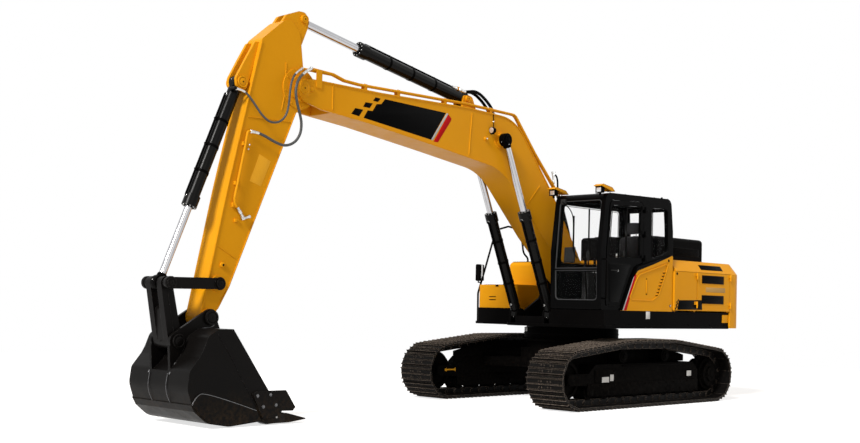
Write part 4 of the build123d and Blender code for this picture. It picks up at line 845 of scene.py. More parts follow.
def bucket_pieces():
    trim = Piece("bucket_fittings", "bucket", "black_paint", "bucket")
    for side in SIDES:
        for x, z in ((6266, 328), (6090, 334), (6185, 206), (6012, 218)):
            trim.use("weld").bolt((x, side * 590, z), (0, side, 0), 15)
        trim.boss(*BUCKET_PIN, side * 212, side, 84, 22)
        trim.boss(*EAR_PIN, side * 212, side, 76, 22)
        trim.use("bucket").beads((((6792, 1000), (6610, 748), (6418, 440), (6258, 214)),), side * 567, 4)
        # light grey steel beads along the wear plate's edge and the ears: real weld beads, their light grey a
        # painted highlight
        corner = ((7095, 262), (7050, 350), (6936, 395), (6265, 168))
        trim.use("weld").pipe([(x, side * 578, z) for x, z in corner], 4, 8)
        for y, radius, line in EAR_WELDS:
            trim.use("weld").pipe([(x, side * y, z) for x, z in line], radius, 8)
    for y in TOOTH_PLACES:
        trim.use("bucket").plate(TOOTH_SIDE, y - 62, y + 62, 8)
        trim.use("pin").lathe((5985, y - 66, 84), (0, 1, 0), [(0, 10), (2, 13), (130, 13), (132, 10)], 16)
    trim.use("bucket").tube([(5905, -560, 104), (5905, 560, 104)], 9, 8)
    trim.done()

    links = Piece("idler_link_pins", "idler_links", "black_paint", "bucket")
    for side in SIDES:
        links.use("bucket").band(on(BUCKET_EYE, side * 198), (0, side, 0), 40, 70, 44, 36, 4)
        links.boss(*BUCKET_EYE, side * 236, side, 54, 20)
        links.use("bucket").band(on(LINKS_PIN, side * 198), (0, side, 0), 60, 72, 8, 36, 2)
    links.done()

    link = Piece("h_link_fittings", "h_link", "black_paint", "bucket")
    for side in SIDES:
        link.band(on(EAR_PIN, side * 149), (0, side, 0), 41, 78, 8, 36, 2)
        link.tube([(7150, side * 151, 1440), (7062, side * 151, 1010)], 5, 8)
        link.bolt((7118, side * 151, 1290), (0, side, 0), 10)
    link.lathe((7118, 0, 908), (1, 0, 0), [(0, 8), (10, 8), (14, 4)], 8)
    link.done()


bucket_pieces()


# Undercarriage

WHEEL_X, WHEEL_Z = 1722.5, 405  # the idler's centre; the sprocket's lies as far behind the swing axis
CARRIER_PLACES = (480, -560)
TRACK_Y = 1190
BELT_CIRCLES = ((WHEEL_X, WHEEL_Z, 315), *((x, 450, 400) for x in CARRIER_PLACES), (-WHEEL_X, WHEEL_Z, 315))


def belt_points(count):
    """Evenly spaced pins on the track's line, counter-clockwise seen with X right and Z up."""
    normals = []
    for i, (x1, z1, r1) in enumerate(BELT_CIRCLES):
        x2, z2, r2 = BELT_CIRCLES[(i + 1) % len(BELT_CIRCLES)]
        distance = math.hypot(x2 - x1, z2 - z1)
        normals.append(math.atan2(z2 - z1, x2 - x1) - math.acos((r1 - r2) / distance))
    pieces = []
    for i, (x, z, r) in enumerate(BELT_CIRCLES):
        start, end = normals[i - 1], normals[i]
        turn = (end - start) % (2 * math.pi)
        pieces.append(("arc", (x, z, r), start, turn, r * turn))
        x2, z2, r2 = BELT_CIRCLES[(i + 1) % len(BELT_CIRCLES)]
        a = (x + r * math.cos(end), z + r * math.sin(end))
        b = (x2 + r2 * math.cos(end), z2 + r2 * math.sin(end))
        pieces.append(("line", a, b, 0, math.dist(a, b)))
    total = sum(piece[4] for piece in pieces)
    points = []
    for k in range(count):
        s = total * k / count
        for kind, a, b, c, length in pieces:
            if s <= length:
                break
            s -= length
        if kind == "arc":
            angle = b + c * s / length
            points.append((a[0] + a[2] * math.cos(angle), a[1] + a[2] * math.sin(angle)))
        else:
            points.append((a[0] + (b[0] - a[0]) * s / length, a[1] + (b[1] - a[1]) * s / length))
    return points


SHOES = 49
# a link's outline, as shares of the pitch and as heights over the pins' line
LINK_SHAPE = ((-0.10, -22), (-0.02, -42), (0.30, -46), (0.70, -46), (0.90, -30), (0.98, -12), (0.98, 22),
              (0.80, 40), (0.10, 40), (-0.08, 18))
FRAME_COVER = ((-1400, 600), (-1400, 692), (-1242, 728), (-962, 775), (-560, 838), (560, 838), (1060, 770),
               (1450, 690), (1450, 470), (1180, 590))
ROLLER_GUARD = ((-1380, 168), (1310, 168), (1360, 210), (1360, 345), (-1380, 345))
ARROW = ((1400, 385), (1440, 405), (1590, 405), (1590, 385), (1650, 415), (1590, 445), (1590, 425),
         (1440, 425), (1400, 445))


def track_pieces(name, y):
    """Chain links with their pins, and each shoe's four bolts."""
    chain = Piece(f"track_chain_{name}", "undercarriage", "track_steel", "shoes")
    pins = belt_points(SHOES)
    for i, (x, z) in enumerate(pins):
        x2, z2 = pins[(i + 1) % SHOES]
        length = math.hypot(x2 - x, z2 - z)
        tx, tz = (x2 - x) / length, (z2 - z) / length

        def spot(share, height):
            return x + tx * length * share + tz * height, z + tz * length * share - tx * height

        for side in SIDES:
            outline = [spot(share, height) for share, height in LINK_SHAPE]
            chain.plate(outline, y + side * 84, y + side * 93, 0)
            chain.lathe((x, y + side * 88, z), (0, side, 0), [(0, 25), (12, 25), (15, 21)], 12)
            for share in (0.28, 0.72):
                for reach in (52, 98):
                    px, pz = spot(share, 64)
                    chain.bolt((px, y + side * reach, pz), (tz, 0, -tx), 11, washer=False)
    chain.done()


def frame_pieces(name, y, side):
    trim = Piece(f"track_frame_{name}_fittings", "undercarriage", "undercarriage_paint", "undercarriage")
    bottom = 90 + 50 + 78  # the pins' height, a link's over them and a roller's radius
    for i in range(8):
        x = -1280 + 2560 * i / 7
        for s in SIDES:
            trim.lathe((x, y + s * 138, bottom), (0, s, 0), [(0, 46), (8, 46), (14, 38), (16, 20)], 24)
            for reach in (-30, 30):
                trim.bolt((x + reach, y + s * 140, bottom + 62), (0, s, 0), 10)
    for x in CARRIER_PLACES:
        trim.lathe((x, y + side * 98, 703), (0, side, 0), [(0, 70), (10, 70), (20, 52), (24, 24)], 28)
        trim.bolts((x, y + side * 108, 703), (0, side, 0), 58, 4, 8)
    for s in SIDES:
        trim.lathe((WHEEL_X, y + s * 138, WHEEL_Z), (0, s, 0), [(0, 78), (14, 78), (20, 60), (22, 30)], 32)
        trim.bolts((WHEEL_X, y + s * 152, WHEEL_Z), (0, s, 0), 66, 6, 9)
    # the sprocket's rings of bolts and its hub with a plug
    for out, radius, count, size in ((95, 215, 20, 10), (150, 168, 12, 9), (175, 82, 6, 9)):
        trim.bolts((-WHEEL_X, y + side * out, WHEEL_Z), (0, side, 0), radius, count, size)
    trim.lathe((-WHEEL_X, y + side * 174, WHEEL_Z), (0, side, 0), [(0, 44), (8, 44), (12, 36)], 24)
    trim.lathe((20 - WHEEL_X, y + side * 175, WHEEL_Z + 60), (0, side, 0), [(0, 12), (8, 12), (9, 8)], 6)
    outer = y + side * 140
    for corners in ((740, 1200, 350, 530), (-1210, -1050, 380, 480)):
        trim.plate(rectangle(*corners), outer - side * 2, outer + side * 8, 3)
    for x, z in ((762, 372), (1178, 372), (762, 508), (1178, 508)):
        trim.bolt((x, outer + side * 8, z), (0, side, 0), 10)
    trim.plate(rectangle(-860, 560, 566, 584), outer - side * 2, outer + side * 16, 3)
    # roller guards outside the chain, and a plate that closes the space over the frame
    for s in SIDES:
        guard = y + s * 141
        trim.plate(ROLLER_GUARD, guard, guard + s * 8, 3)
        for i in range(15):
            for z, size in ((322, 9), (190, 8)):
                trim.bolt((-1260 + 180 * i, guard + s * 8, z), (0, s, 0), size)
    trim.plate(FRAME_COVER, y - side * 132, y - side * 124, 3)
    for corners in ((876, 1036, 356, 430), (770, 850, 372, 460), (-1190, -1070, 392, 470)):
        trim.label("white", rectangle(*corners), outer + side * 8, side, 1.5)
    trim.label("label_yellow", ARROW, y - side * 140, -side, 1.5)
    trim.done()


for track_name, track_side in (("left", 1), ("right", -1)):
    track_pieces(track_name, track_side * TRACK_Y)
    frame_pieces(track_name, track_side * TRACK_Y, track_side)


def centre_pieces():
    trim = Piece("swing_bearing_bolts", "undercarriage", "steel_pin", "pin")
    trim.use("undercarriage").band((0, 0, 868), (0, 0, 1), 655, 742, 34, 64, 4)
    trim.bolts((0, 0, 902), (0, 0, 1), 722, 36, 12)
    trim.use("rubber").band((0, 0, 970), (0, 0, 1), 698, 708, 14, 64, 3)
    trim.use("undercarriage")
    for a in SIDES:
        for b in SIDES:
            trim.tube([(a * 440, b * 1046, 602), (a * 262, b * 640, 602)], 7, 8)
            trim.plate(rectangle(a * 470, a * 560, 500, 590), b * 1043, b * 1052, 2)
    trim.done()


centre_pieces()


# House: panels' grilles, plates and locks, counterweight, hood, tanks and steps

def slats(piece, x0, x1, z0, z1, y, side, count, key="plate_black"):
    """A louvred grille on a side wall: a dark field in a thin frame with sloping slats."""
    piece.label(key, rectangle(x0, x1, z0, z1), y, side, 1.5)
    step = (z1 - z0) / count
    for i in range(count):
        z = z0 + step * (i + 0.25)
        section = ((0, 0), (1, step * 0.62), (9, step * 0.1), (8, 0))
        piece.prism([(x0 + 6, y + side * out, z + rise) for out, rise in section], (x1 - x0 - 12, 0, 0), 0.8)


def lock(piece, x, y, z, side, key="zinc"):
    """A round lock with its keyhole cover in a shallow dish."""
    piece.use("rubber").lathe((x, y - side, z), (0, side, 0), [(0, 20), (3, 20), (4, 17)], 28)
    piece.use(key).lathe((x, y, z), (0, side, 0), [(0, 12), (7, 12), (9, 10)], 24)
    piece.use("plate_black").box(x - 2.5, x + 2.5, y + side * 8, y + side * 10, z - 9, z + 9, 0.8)


DOOR_Y = 1360
PANEL_Y = 1335
PANEL_RECESS = ((420, 1490, 30), (-137, 1490, 60), (-297, 1567, 60), (-486, 1914, 40), (-520, 2010, 20),
                (-470, 2020, 20), (200, 1850, 40), (290, 1740, 20))
TAIL_ARC_R, TAIL_HALF = 2900, 1040
LIFT_X, LIFT_Y = -2480, 700
TOW_X, TOW_Z = -2885, 1450  # the tow socket in the counterweight
SKIRT_LOW, SKIRT_HIGH = 1096, 1338
BOX_X, BOX_Y = 548, -1310  # the centre of the rounded corner of the tool box
RING_R = 710
TANK_Y = -1358  # the outer face of both tanks
SLOPE_FOOT, SLOPE_RISE, SLOPE_RUN = 1938, 168, 125  # the house's sloping shoulder


def door_pieces():
    rear = Piece("rear_door_trim", "left_rear_door", "yellow_paint", "plate_black")
    for z0, z1 in ((1775, 1900), (1470, 1600)):
        slats(rear, -2046, -1415, z0, z1, DOOR_Y, 1, 6)
    rear.label("label_tan", rectangle(-1530, -2090, 1647, 1720), DOOR_Y, 1)
    rear.label("plate_black", ((-1287, 1378), (-1431, 1376), (-1426, 1524), (-1287, 1521)), DOOR_Y, 1)
    rear.done()
    front = Piece("front_door_trim", "left_front_door", "yellow_paint", "plate_black")
    front.label("plate_black", ((-752, 1369), (-1276, 1377), (-1276, 1520), (-796, 1512)), DOOR_Y, 1)
    for row in range(3):
        for column in range(2):
            x, z = -690 - 16 * row - 34 * column, 1372 + 48 * row + 24 * column
            slant = ((x, z), (x - 26, z), (x - 36, z + 32), (x - 10, z + 32))
            front.label("plate_black", slant, DOOR_Y, 1, bevel=0.4)
    lock(front, -735, DOOR_Y, 1900, 1, "rubber")
    front.done()
    right = Piece("pump_door_trim", "right_pump_door", "yellow_paint", "plate_black")
    slats(right, -2090, -1420, 1560, 1840, -DOOR_Y, -1, 12)
    lock(right, -1345, -DOOR_Y, 1480, -1)
    right.use("rubber").box(-1335, -1300, -DOOR_Y, -DOOR_Y - 10, 1560, 1650, 5)
    right.done()
    hood = Piece("engine_hood_trim", "engine_hood", "black_paint", "black")
    for y in (-380, 165, 710):
        hood.use("rubber").box(-935, -896, y - 45, y + 45, 2170, 2200, 6)
        hood.use("zinc").box(-904, -890, y - 16, y + 16, 2158, 2218, 4)
    for side, y in ((1, 890), (-1, -560)):
        slats(hood, -2080, -1030, 2200, 2330, y, side, 6, "black")
    for x in (-2080, -1030):
        for y in (-440, 770):
            hood.use("zinc").bolt((x, y, 2479), (0, 0, 1), 9)
    hood.done()


door_pieces()


def slope(z, out):
    """The place (y, z) that stands out by a distance from the shoulder at a height."""
    share = (z - SLOPE_FOOT) / SLOPE_RISE
    return DOOR_Y - SLOPE_RUN * share + out * 0.8, z + out * 0.6


def tread(piece, x0, y0, z, columns):
    """Rows of grip studs on a tread plate."""
    for i in range(columns):
        for k in range(14):
            piece.lathe((x0 + 40 * i, y0 + 45 * k, z), (0, 0, 1), [(0, 8), (3, 6)], 8)


def house_pieces():
    trim = Piece("house_trim", "house", "yellow_paint", "yellow")
    # grille on the sloping shoulder, plates and locks
    low, high = 1980, 2056
    bars = [(low + 4 + 14.5 * i, low + 11 + 14.5 * i, 7) for i in range(5)]
    for z0, z1, out in [(low, high, 1.5)] + bars:
        corners = [(x, *slope(z, -1)) for x, z in rectangle(-2064, -1435, z0, z1)]
        trim.use("plate_black").prism(corners, (0, 0.8 * (out + 1), 0.6 * (out + 1)), 0.8)
    face = PANEL_Y
    trim.label("white", rectangle(14, -86, 1333, 1228), face, 1)
    trim.label("yellow", rectangle(-2052, -2232, 1306, 1183), face, 1, 4, 1.5)
    lock(trim, -600, face, 1423, 1)
    lock(trim, -545, face, 2080, 1, "rubber")
    trim.label("red", ((560, 1344), (492, 1344), (262, 1846), (292, 1850), (322, 1818)), face, 1, 1.4)
    trim.label("silver", ((586, 1344), (560, 1344), (318, 1822), (326, 1826), (346, 1796)), face, 1, 1.4)
    edge = ((590, 1342), (345, 1800), (230, 1960), (-560, 2140), (-655, 2165))
    trim.use("cab").strip(edge, -4, face - 33, face + 2)
    trim.label("cab", ((346, 1802), (228, 1962), (-560, 2142), (-655, 2166), (-560, 2132), (-186, 2020),
                       (230, 1906), (300, 1868)), face, 1, 2)
    trim.use("black")
    for x in (-2120, -1700, -1100, -760, -420, 420, 760):
        trim.bolt((x, face, 1150), (0, 1, 0), 9)
    # the side panel's pressed edge, louvres with dark inserts in their openings as painted shade, and latch
    x, z, _ = PANEL_RECESS[0]
    trim.use("yellow").beads([arc_corners(PANEL_RECESS) + [(x, z + 34)]], face - 1, 8)
    for i in range(8):
        x, z = -440 + 178 * i / 7, 1900 - 332 * i / 7
        slot = ((x - 30, z - 4), (x + 26, z - 12), (x + 30, z + 8), (x - 26, z + 16))
        # a dark insert in each louvre's opening: painted shade
        trim.use("plate_black").plate(slot, face - 20, face - 7, 1)
        hood = [(x - 32, face - 9, z + 15), (x + 28, face - 9, z + 7), (x + 28, face + 5, z + 1),
                (x - 32, face + 5, z + 9)]
        trim.use("yellow").prism(hood, (0, 0, 5))
    trim.plate(rectangle(-10, 10, 1590, 1786), face - 18, face - 2, 4)
    for z in (1580, 1796):
        trim.use("plate_black").lathe((0, face - 19, z), (0, 1, 0), [(0, 7), (14, 7)], 12)
    # black skirt round the foot of the tool box
    trim.use("black").plate(rectangle(-1265, 560, SKIRT_LOW, SKIRT_HIGH), TANK_Y, TANK_Y - 15, 3)
    trim.prism(standing(598, 598, BOX_Y, -455, SKIRT_LOW, SKIRT_HIGH), (14, 0, 0), 4)
    turns = [k * math.pi / 12 for k in range(7)]
    inner, outer = ([(BOX_X + r * math.sin(t), BOX_Y - r * math.cos(t)) for t in turns] for r in (50, 64))
    trim.prism([(x, y, SKIRT_LOW) for x, y in outer + inner[::-1]], (0, 0, SKIRT_HIGH - SKIRT_LOW))
    trim.use("plate_black")
    for z in (1452, 1498):
        trim.prism([(599, -1126, z), (599, -992, z + 2), (599, -992, z + 16), (599, -1126, z + 14)],
                   (3, 0, 0), 0.8)
    # blank label on the turntable's ring
    label = rectangle(math.radians(-34), math.radians(-28), 1000, 1056)
    label = [(RING_R * math.cos(a), RING_R * math.sin(a), z) for a, z in label]
    trim.use("white").prism(label, (3, -2, 0), 0.5)
    trim.done()

    weight = Piece("counterweight_trim", "house", "yellow_paint", "yellow")
    for z in (1330, 1800):
        across = [TAIL_HALF * (k / 12 - 1) for k in range(25)]
        weight.tube([(-math.sqrt((TAIL_ARC_R + 1) ** 2 - y * y), y, z) for y in across], 4, 8)
    for y in (-LIFT_Y, LIFT_Y):
        weight.band((LIFT_X, y, 2105), (0, 0, 1), 19, 48, 8, 32, 2)
    weight.use("black").band((TOW_X, 0, TOW_Z), (-1, 0, 0), 40, 66, 14, 36, 3)
    weight.use("plate_black").lathe((TOW_X + 5, 0, TOW_Z), (-1, 0, 0), [(0, 41), (12, 41), (14, 36)], 36)
    weight.done()

    tanks = Piece("tank_fittings", "house", "yellow_paint", "black")
    cap = [(0, 74), (16, 74), (20, 66), (46, 64), (54, 56)]
    for x, y, z in ((-420, -1060, 2070), (-1040, -1000, 2000)):
        tanks.use("black").lathe((x, y, z - 1), (0, 0, 1), cap, 32)
        tanks.use("zinc").box(x - 50, x + 50, y - 7, y + 7, z + 52, z + 64, 3)
        tanks.bolts((x, y, z + 15), (0, 0, 1), 69, 6, 5)
    tanks.use("black")
    for x0, x1, y0, z in ((-780, -520, -1300, 2070), (-320, -140, -1300, 2070), (-1230, -1130, -1280, 2000)):
        tanks.box(x0, x1, y0, -650, z - 1, z + 4, 1.5)
        tread(tanks, x0 + 24, y0 + 28, z + 4, (x1 - x0) // 40)
    # level gauge, steps and mirror
    tanks.use("lens").box(-800, -790, TANK_Y - 8, TANK_Y, 1350, 1850, 2)
    for z in (1330, 1848):
        tanks.use("zinc").box(-806, -784, TANK_Y - 10, TANK_Y, z, z + 22, 3)
    for z in (1340, 1610):
        tanks.use("plate_black").plate(rectangle(120, 380, z, z - 95), TANK_Y - 3.5, TANK_Y, 1)
        tanks.use("black").box(128, 372, TANK_Y - 26, TANK_Y, z - 92, z - 80, 3)
    for x in (180, 330):
        tanks.use("plate_black").plate(rectangle(x, x + 90, 1655, 1640), TANK_Y - 4, TANK_Y - 1, 0.5)
    tanks.use("plastic").box(450, 480, -1482, -1371, 1752, 2004, 13)
    tanks.use("silver").box(478, 484, -1474, -1380, 1762, 1994, 2)
    tanks.done()

    lid = Piece("tool_box_lid_grip", "tool_box_lid", "black_paint", "black")
    lid.box(60, 520, -1310, -650, 1689, 1694, 1.5)
    tread(lid, 90, -1282, 1694, 11)
    lid.box(599, 606, -1000, -940, 1660, 1686, 3)
    lid.done()


house_pieces()


# Cab: panes, frames, seals, lamps, door furniture and the operator's place

DOOR_WINDOW = ((885, 2070, 50), (885, 2160, 1), (830, 2790, 70), (120, 2820, 70), (120, 2090, 60))
QUARTER_WINDOW = ((-150, 2090, 40), (-150, 2820, 50), (-560, 2830, 70), (-590, 2230, 90), (-440, 2150, 60))
RIGHT_WINDOW = ((-560, 2000, 60), (890, 2000, 60), (820, 2830, 60), (-560, 2830, 60))
CAB_OUT, CAB_IN = 1300, 430


def seal(piece, outline, y, side, width=16):
    """A rubber seal round a window in a side wall, lapping over its edge."""
    outer = [(x, y - side * 2, z) for x, z in arc_corners(shrunk(outline, -8))]
    inner = [(x, y - side * 2, z) for x, z in arc_corners(shrunk(outline, width))]
    piece.use("rubber").ring_of(outer, inner, (0, side * 8, 0), 2)


def front_x(z):
    """How far forward the cab's front face is at a height."""
    return 1045 + 20 * (z - 1340) / 810 if z < 2150 else 1065 - 105 * (z - 2150) / 805


def cab_pieces():
    panes = Piece("front_rear_roof_panes", "house", "glass", "glass")
    for z0, z1, inset in ((1472, 1893, 16), (1907, 2862, 18)):
        corners = [(front_x(z) - inset, y, z) for y, z in rectangle(502, 1228, z0, z1)]
        panes.prism(corners, (-6, 0, 0), 0)
    panes.prism(standing(-688, -662, 542, 1188, 2082, 2823), (6, 0, 0), 0)
    panes.prism(rising(104, 616, 604, 1126, 2962, 2950), (0, 0, 6), 0)
    panes.done()

    trim = Piece("cab_trim", "house", "cab_black", "rubber")
    for z0, z1, low, high in ((1470, 1890, 64, 2), (1908, 2865, 2, 64)):
        corners = ((500, z0, low), (1230, z0, low), (1230, z1, high), (500, z1, high))
        lines = (corners, shrunk(corners, 13))
        outer, inner = ([(front_x(z) - 10, y, z) for y, z in arc_corners(line)] for line in lines)
        trim.use("seal").ring_of(outer, inner, (-20, 0, 0), 2)
    for y, toward in ((500, 1), (1230, -1)):
        for z, rise in ((1470, 1), (2865, -1)):
            turns = [math.radians(15 * k) for k in range(7)]
            arc = [(y + toward * (64 - 64 * math.sin(a)), z + rise * (64 - 64 * math.cos(a))) for a in turns]
            trim.use("cab").prism([(front_x(cz) - 8, cy, cz) for cy, cz in [(y, z)] + arc], (-18, 0, 0), 0)
    trim.use("cab").box(front_x(1900) - 34, front_x(1900) + 2, 500, 1230, 1890, 1910, 5)
    outer, inner = standing(-706, -664, 532, 1198, 2072, 2833), standing(-706, -666, 560, 1170, 2100, 2805)
    trim.use("rubber").ring_of(outer, inner, (14, 0, 0), 3)
    seal(trim, QUARTER_WINDOW, CAB_OUT, 1)
    seal(trim, RIGHT_WINDOW, CAB_IN, -1)
    trim.beads([((x, 2010), (x, 2824)) for x in (170, 190)], CAB_IN - 2, 6)
    outer, inner = rising(88, 632, 588, 1142, 2964, 2950), rising(128, 592, 628, 1102, 2964, 2950)
    trim.use("cab").ring_of(outer, inner, (0, 0, 26), 6)
    trim.use("rubber").box(560, 600, 840, 890, 2976, 2996, 5)
    # two lamps over the windscreen, antenna bases and bolts on the roof
    for y, z in ((424, 2986), (1232, 2990)):
        lamp(trim, 1048, y, z, 104, 88, 760)
    antenna = [(0, 26), (26, 26), (34, 18), (52, 12), (56, 8)]
    for x, y in ((330, 470), (-480, 1240), (-560, 480)):
        trim.use("rubber").lathe((x, y, 2950), (0, 0, 1), antenna, 20)
    for x in (860, 500, 140, -220, -560):
        for y in (446, 1284):
            trim.use("rubber").bolt((x, y, 2984 - max(0, x + 640) * 30 / 1600), (0, 0, 1), 7)
    # wiper with its motor housing
    trim.use("rubber").pipe([(1052, 612, 2846), (1062, 700, 2790), (1072, 800, 2690), (1082, 838, 2560),
                             (1088, 838, 2300)], 7)
    trim.pipe([(1088, 838, 2330), (1088, 838, 2180), (1084, 862, 2110), (1078, 905, 2052)], 8)
    trim.box(1072, 1082, 826, 850, 2140, 2640, 3)
    trim.use("plastic").box(1000, 1046, 570, 650, 2810, 2884, 10)
    # hinge covers and grab rail on the front post
    for z in (2068, 2408, 2758):
        trim.use("rubber").bolt((-10, CAB_OUT + 16, z), (0, 1, 0), 7)
    rail = ((985, 1302, 1500), (1000, 1350, 1500), (1002, 1356, 1540), (1002, 1356, 2000), (1000, 1350, 2040),
            (985, 1302, 2040))
    trim.use("black").pipe(rail, 12)
    trim.done()

    door = Piece("cab_door_trim", "cab_door", "cab_black", "rubber")
    seal(door, DOOR_WINDOW, CAB_OUT, 1)
    door.use("rubber").box(436, 458, CAB_OUT - 34, CAB_OUT - 12, 2080, 2812, 3)
    door.box(452, 462, CAB_OUT - 22, CAB_OUT - 10, 2082, 2810, 2)
    door.use("plastic").box(468, 482, CAB_OUT - 16, CAB_OUT - 4, 2380, 2460, 4)
    dish = [(x, z, 20) for x, z in rectangle(690, 840, 1850, 1930)]
    door.label("plate_black", arc_corners(dish), CAB_OUT, 1, 3, 1)
    handle = ((706, 0), (706, 30), (716, 34), (800, 34), (822, 30), (824, 0))
    door.use("plastic").pipe([(x, CAB_OUT + out, 1890) for x, out in handle], 8)
    door.use("silver").lathe((664, CAB_OUT - 1, 1890), (0, 1, 0), [(0, 13), (6, 13), (8, 10)], 20)
    panel = ((860, 1450, 40), (880, 1990, 40), (330, 1990, 40), (420, 1860, 30), (620, 1450, 30))
    door.use("cab").plate(arc_corners(panel), CAB_OUT - 2, CAB_OUT + 5, 2)
    for x in (860, 700):
        door.use("rubber").bolt((x, CAB_OUT, 1420), (0, 1, 0), 7)
    door.done()


cab_pieces()


def cushion(name, x0, x1, y0, y1, z0, z1, crown, channels, face):
    """A stuffed pad with sewn channels, whose crowned face looks up for "z" and forward for "x"."""
    part = bmesh.new()
    bmesh.ops.create_cube(part, size=2)
    bmesh.ops.subdivide_edges(part, edges=part.edges[:], cuts=11, use_grid_fill=True)
    half = ((x1 - x0) / 2, (y1 - y0) / 2, (z1 - z0) / 2)
    middle = Vector(((x0 + x1) / 2, (y0 + y1) / 2, (z0 + z1) / 2))
    top, other = (2, 0) if face == "z" else (0, 2)
    for vertex in part.verts:
        u = vertex.co.copy()
        swell = Vector(u)
        for a in range(3):
            b, c = u[(a + 1) % 3], u[(a + 2) % 3]
            share = 1 - b ** 2 / 2 * 0.34 - c ** 2 / 2 * 0.34 + (b * c) ** 2 / 3 * 0.2
            swell[a] = u[a] * math.sqrt(max(share, 0.1))
        if u[top] > 0.5:
            bulge = (1 - u[other] ** 2) * (1 - u[1] ** 2)
            groove = sum(math.exp(-((u[other] - place) / 0.05) ** 2) for place in channels)
            seam = math.exp(-((abs(u[1]) - 0.62) / 0.05) ** 2)
            pulled = groove * (abs(u[1]) < 0.66) + 0.8 * seam
            swell[top] += crown / half[top] * bulge - 0.5 * crown / half[top] * pulled
        vertex.co = middle + Vector([swell[a] * half[a] for a in range(3)])
    piece = Piece(name, "house", "seat_cloth", "cloth")
    piece.add(part)
    obj = piece.done(80)
    modifier = obj.modifiers.new("rounding", "SUBSURF")
    modifier.levels = modifier.render_levels = 1
    return obj


def operator_place():
    base = cushion("seat_cushion", -235, 265, 645, 1115, 1712, 1822, 16, (-0.45, 0.0, 0.45), "z")
    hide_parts("operator_seat")
    cushion("seat_back", -325, -232, 655, 1105, 1812, 2432, 14, (-0.6, -0.2, 0.2, 0.6), "x")
    cushion("head_rest", -322, -250, 745, 1015, 2462, 2632, 8, (), "x")
    frame_piece = Piece("seat_frame", "house", "plastic_dark", "plastic")
    frame_piece.box(-178, 198, 702, 1058, 1386, 1460, 10)
    for i in range(5):
        inset, z = 6 * (i % 2), 1458 + 36 * i
        frame_piece.use("rubber").box(inset - 160, 180 - inset, 720 + inset, 1040 - inset, z, z + 36, 12)
    frame_piece.use("plastic").box(-220, 240, 670, 1090, 1640, 1716, 12)
    frame_piece.box(-340, -318, 690, 1070, 1780, 2400, 10)
    for y in (830, 930):
        frame_piece.use("chrome").tube([(-300, y, 2400), (-296, y, 2500)], 7, 12)
    for y in (1128, 632):
        frame_piece.use("plastic").box(-240, 60, y - 34, y + 34, 1990, 2040, 16)
        frame_piece.use("black").tube([(-280, y, 1880), (-240, y, 2000)], 14, 12)
    belt = ((-231, 1070, 2446), (-200, 1085, 2300), (-160, 1095, 2180), (-150, 1110, 1900),
            (-160, 1118, 1780))
    frame_piece.use("black").pipe(belt, 9)
    frame_piece.done()

    desk = Piece("cab_controls", "house", "plastic_dark", "plastic")
    gaiter = [(0, 50), (12, 48), (20, 34), (28, 38), (38, 26), (46, 30), (58, 18), (64, 14)]
    grip = [(0, 14), (20, 24), (70, 22), (100, 27), (124, 24), (136, 14)]
    for y in (556, 1186):
        desk.use("rubber").lathe((330, y, 1878), (0.1, 0, 1), gaiter, 24)
        desk.use("black").tube([(335, y, 1930), (352, y, 2060)], 8, 12)
        desk.use("plastic").lathe((350, y, 2050), (0.16, 0, 1), grip, 20)
        for k in range(4):
            desk.use("silver").box(80 + 40 * k, 104 + 40 * k, y - 20, y + 20, 1878, 1888, 3)
    for y in (800, 960):
        desk.use("black").pipe([(690, y, 1390), (700, y, 1560), (740, y, 1800), (742, y, 2010)], 10)
        desk.use("rubber").lathe((742, y, 1960), (0, 0, 1), [(0, 14), (10, 20), (90, 20), (104, 12)], 18)
        desk.prism(rising(640, 800, y - 48, y + 48, 1404, 1470), (0, 0, 14), 3)
        for k in range(6):
            x, z = 655 + 24 * k, 1423 + 10 * k
            desk.prism(rising(x, x + 12, y - 44, y + 44, z, z + 5), (0, 0, 6), 1)
    monitor = [(820, 500, 2000), (850, 700, 2000), (840, 700, 2220), (810, 500, 2220)]
    desk.use("plastic").prism(monitor, (40, 0, 0), 10)
    screen = [(816, 522, 2026), (842, 680, 2026), (834, 680, 2196), (808, 522, 2196)]
    desk.use("lens").prism(screen, (2, 0, 0), 1)
    desk.use("rubber").box(-560, 930, 500, 1230, 1384, 1396, 4)
    for y in (640, 1090):
        desk.use("plastic").lathe((-650, y, 2880), (1, 0, 0), [(0, 74), (18, 74), (24, 66)], 28)
        desk.use("rubber").lathe((-628, y, 2880), (1, 0, 0), [(0, 58), (4, 58), (6, 20)], 28)
    desk.use("plastic").box(-655, -500, 520, 1210, 1390, 2020, 16)
    desk.box(860, 940, 520, 1210, 2880, 2915, 10)
    desk.done()


operator_place()


# Floor, world and lamps

FLOOR_HALF, FLOOR_Z = 80, -0.002
FLOOR_NEAR, FLOOR_FAR = 7.0, 16.0  # metres from the middle, between which the floor fades to white
FLOOR_GLOW, WORLD_LIGHT = 0.72, 0.30
FLOOR_GREY, WARM_LIGHT, WHITE = (0.62, 0.62, 0.62), (1.0, 0.94, 0.87), (1, 1, 1)


def light_path(tree):
    """1 for what the camera sees straight on, in a mirror or through glass."""
    path = add_node(tree, "ShaderNodeLightPath")
    value = path.outputs["Is Camera Ray"]
    for name in ("Is Glossy Ray", "Is Transmission Ray"):
        inputs = {0: value, 1: path.outputs[name]}
        value = add_node(tree, "ShaderNodeMath", inputs, operation="MAXIMUM").outputs[0]
    return value


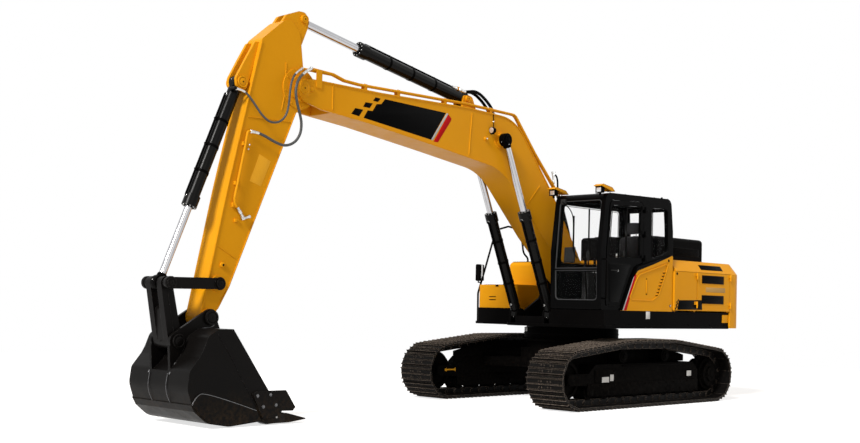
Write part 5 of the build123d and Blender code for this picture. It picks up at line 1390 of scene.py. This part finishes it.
def make_floor():
    mesh = bpy.data.meshes.new("floor")
    corners = [(x, y, FLOOR_Z) for x, y in rectangle(-FLOOR_HALF, FLOOR_HALF, -FLOOR_HALF, FLOOR_HALF)]
    mesh.from_pydata(corners, [], [(0, 1, 2, 3)])
    floor = bpy.data.objects.new("floor", mesh)
    scene.collection.objects.link(floor)
    material = bpy.data.materials.new("floor_pale")
    material.use_nodes = True
    tree = material.node_tree
    tree.nodes.clear()
    diffuse = add_node(tree, "ShaderNodeBsdfDiffuse", {"Color": FLOOR_GREY})
    seen = add_node(tree, "ShaderNodeMath", {0: light_path(tree), 1: FLOOR_GLOW}, operation="MULTIPLY")
    glow = add_node(tree, "ShaderNodeEmission", {"Color": WHITE, "Strength": seen.outputs[0]})
    near = add_node(tree, "ShaderNodeAddShader", {0: diffuse.outputs[0], 1: glow.outputs[0]})
    far = add_node(tree, "ShaderNodeEmission", {"Color": WHITE})
    place = add_node(tree, "ShaderNodeTexCoord").outputs["Object"]
    distance = add_node(tree, "ShaderNodeVectorMath", {0: place}, operation="LENGTH").outputs["Value"]
    limits = {"From Min": FLOOR_NEAR, "From Max": FLOOR_FAR, "Value": distance}
    fade = add_node(tree, "ShaderNodeMapRange", limits).outputs["Result"]
    mix = add_node(tree, "ShaderNodeMixShader", {"Fac": fade, 1: near.outputs[0], 2: far.outputs[0]})
    add_node(tree, "ShaderNodeOutputMaterial", {"Surface": mix.outputs[0]})
    mesh.materials.append(material)


def make_world():
    world = bpy.data.worlds.new("studio")
    scene.world = world
    world.use_nodes = True
    tree = world.node_tree
    tree.nodes.clear()
    light = add_node(tree, "ShaderNodeBackground", {"Color": WARM_LIGHT, "Strength": WORLD_LIGHT})
    seen = add_node(tree, "ShaderNodeBackground", {"Color": WHITE, "Strength": 1.0})
    inputs = {"Fac": light_path(tree), 1: light.outputs[0], 2: seen.outputs[0]}
    choose = add_node(tree, "ShaderNodeMixShader", inputs)
    add_node(tree, "ShaderNodeOutputWorld", {"Surface": choose.outputs[0]})


def studio_lamp(name, kind, energy, location, target, size, colour):
    """A lamp that looks at its target; size is an area's side in metres or the sun's angle in radians."""
    data = bpy.data.lights.new(name, kind)
    data.energy, data.color = energy, colour
    setattr(data, "size" if kind == "AREA" else "angle", size)
    obj = bpy.data.objects.new(name, data)
    obj.location = location
    obj.rotation_mode = "QUATERNION"
    obj.rotation_quaternion = (Vector(target) - Vector(location)).to_track_quat("-Z", "Y")
    scene.collection.objects.link(obj)


make_floor()
make_world()
studio_lamp("key", "SUN", 3.5, (9, 2.0, 7), (0, 0, 0), 0.25, (1.0, 0.98, 0.95))
studio_lamp("fill", "AREA", 160, (7, 14, 6), (0, 0, 1.5), 8.0, (1.0, 0.93, 0.85))
studio_lamp("rim", "AREA", 110, (-9, 8, 7), (-1.5, 0, 1.5), 6.0, (1.0, 0.95, 0.9))
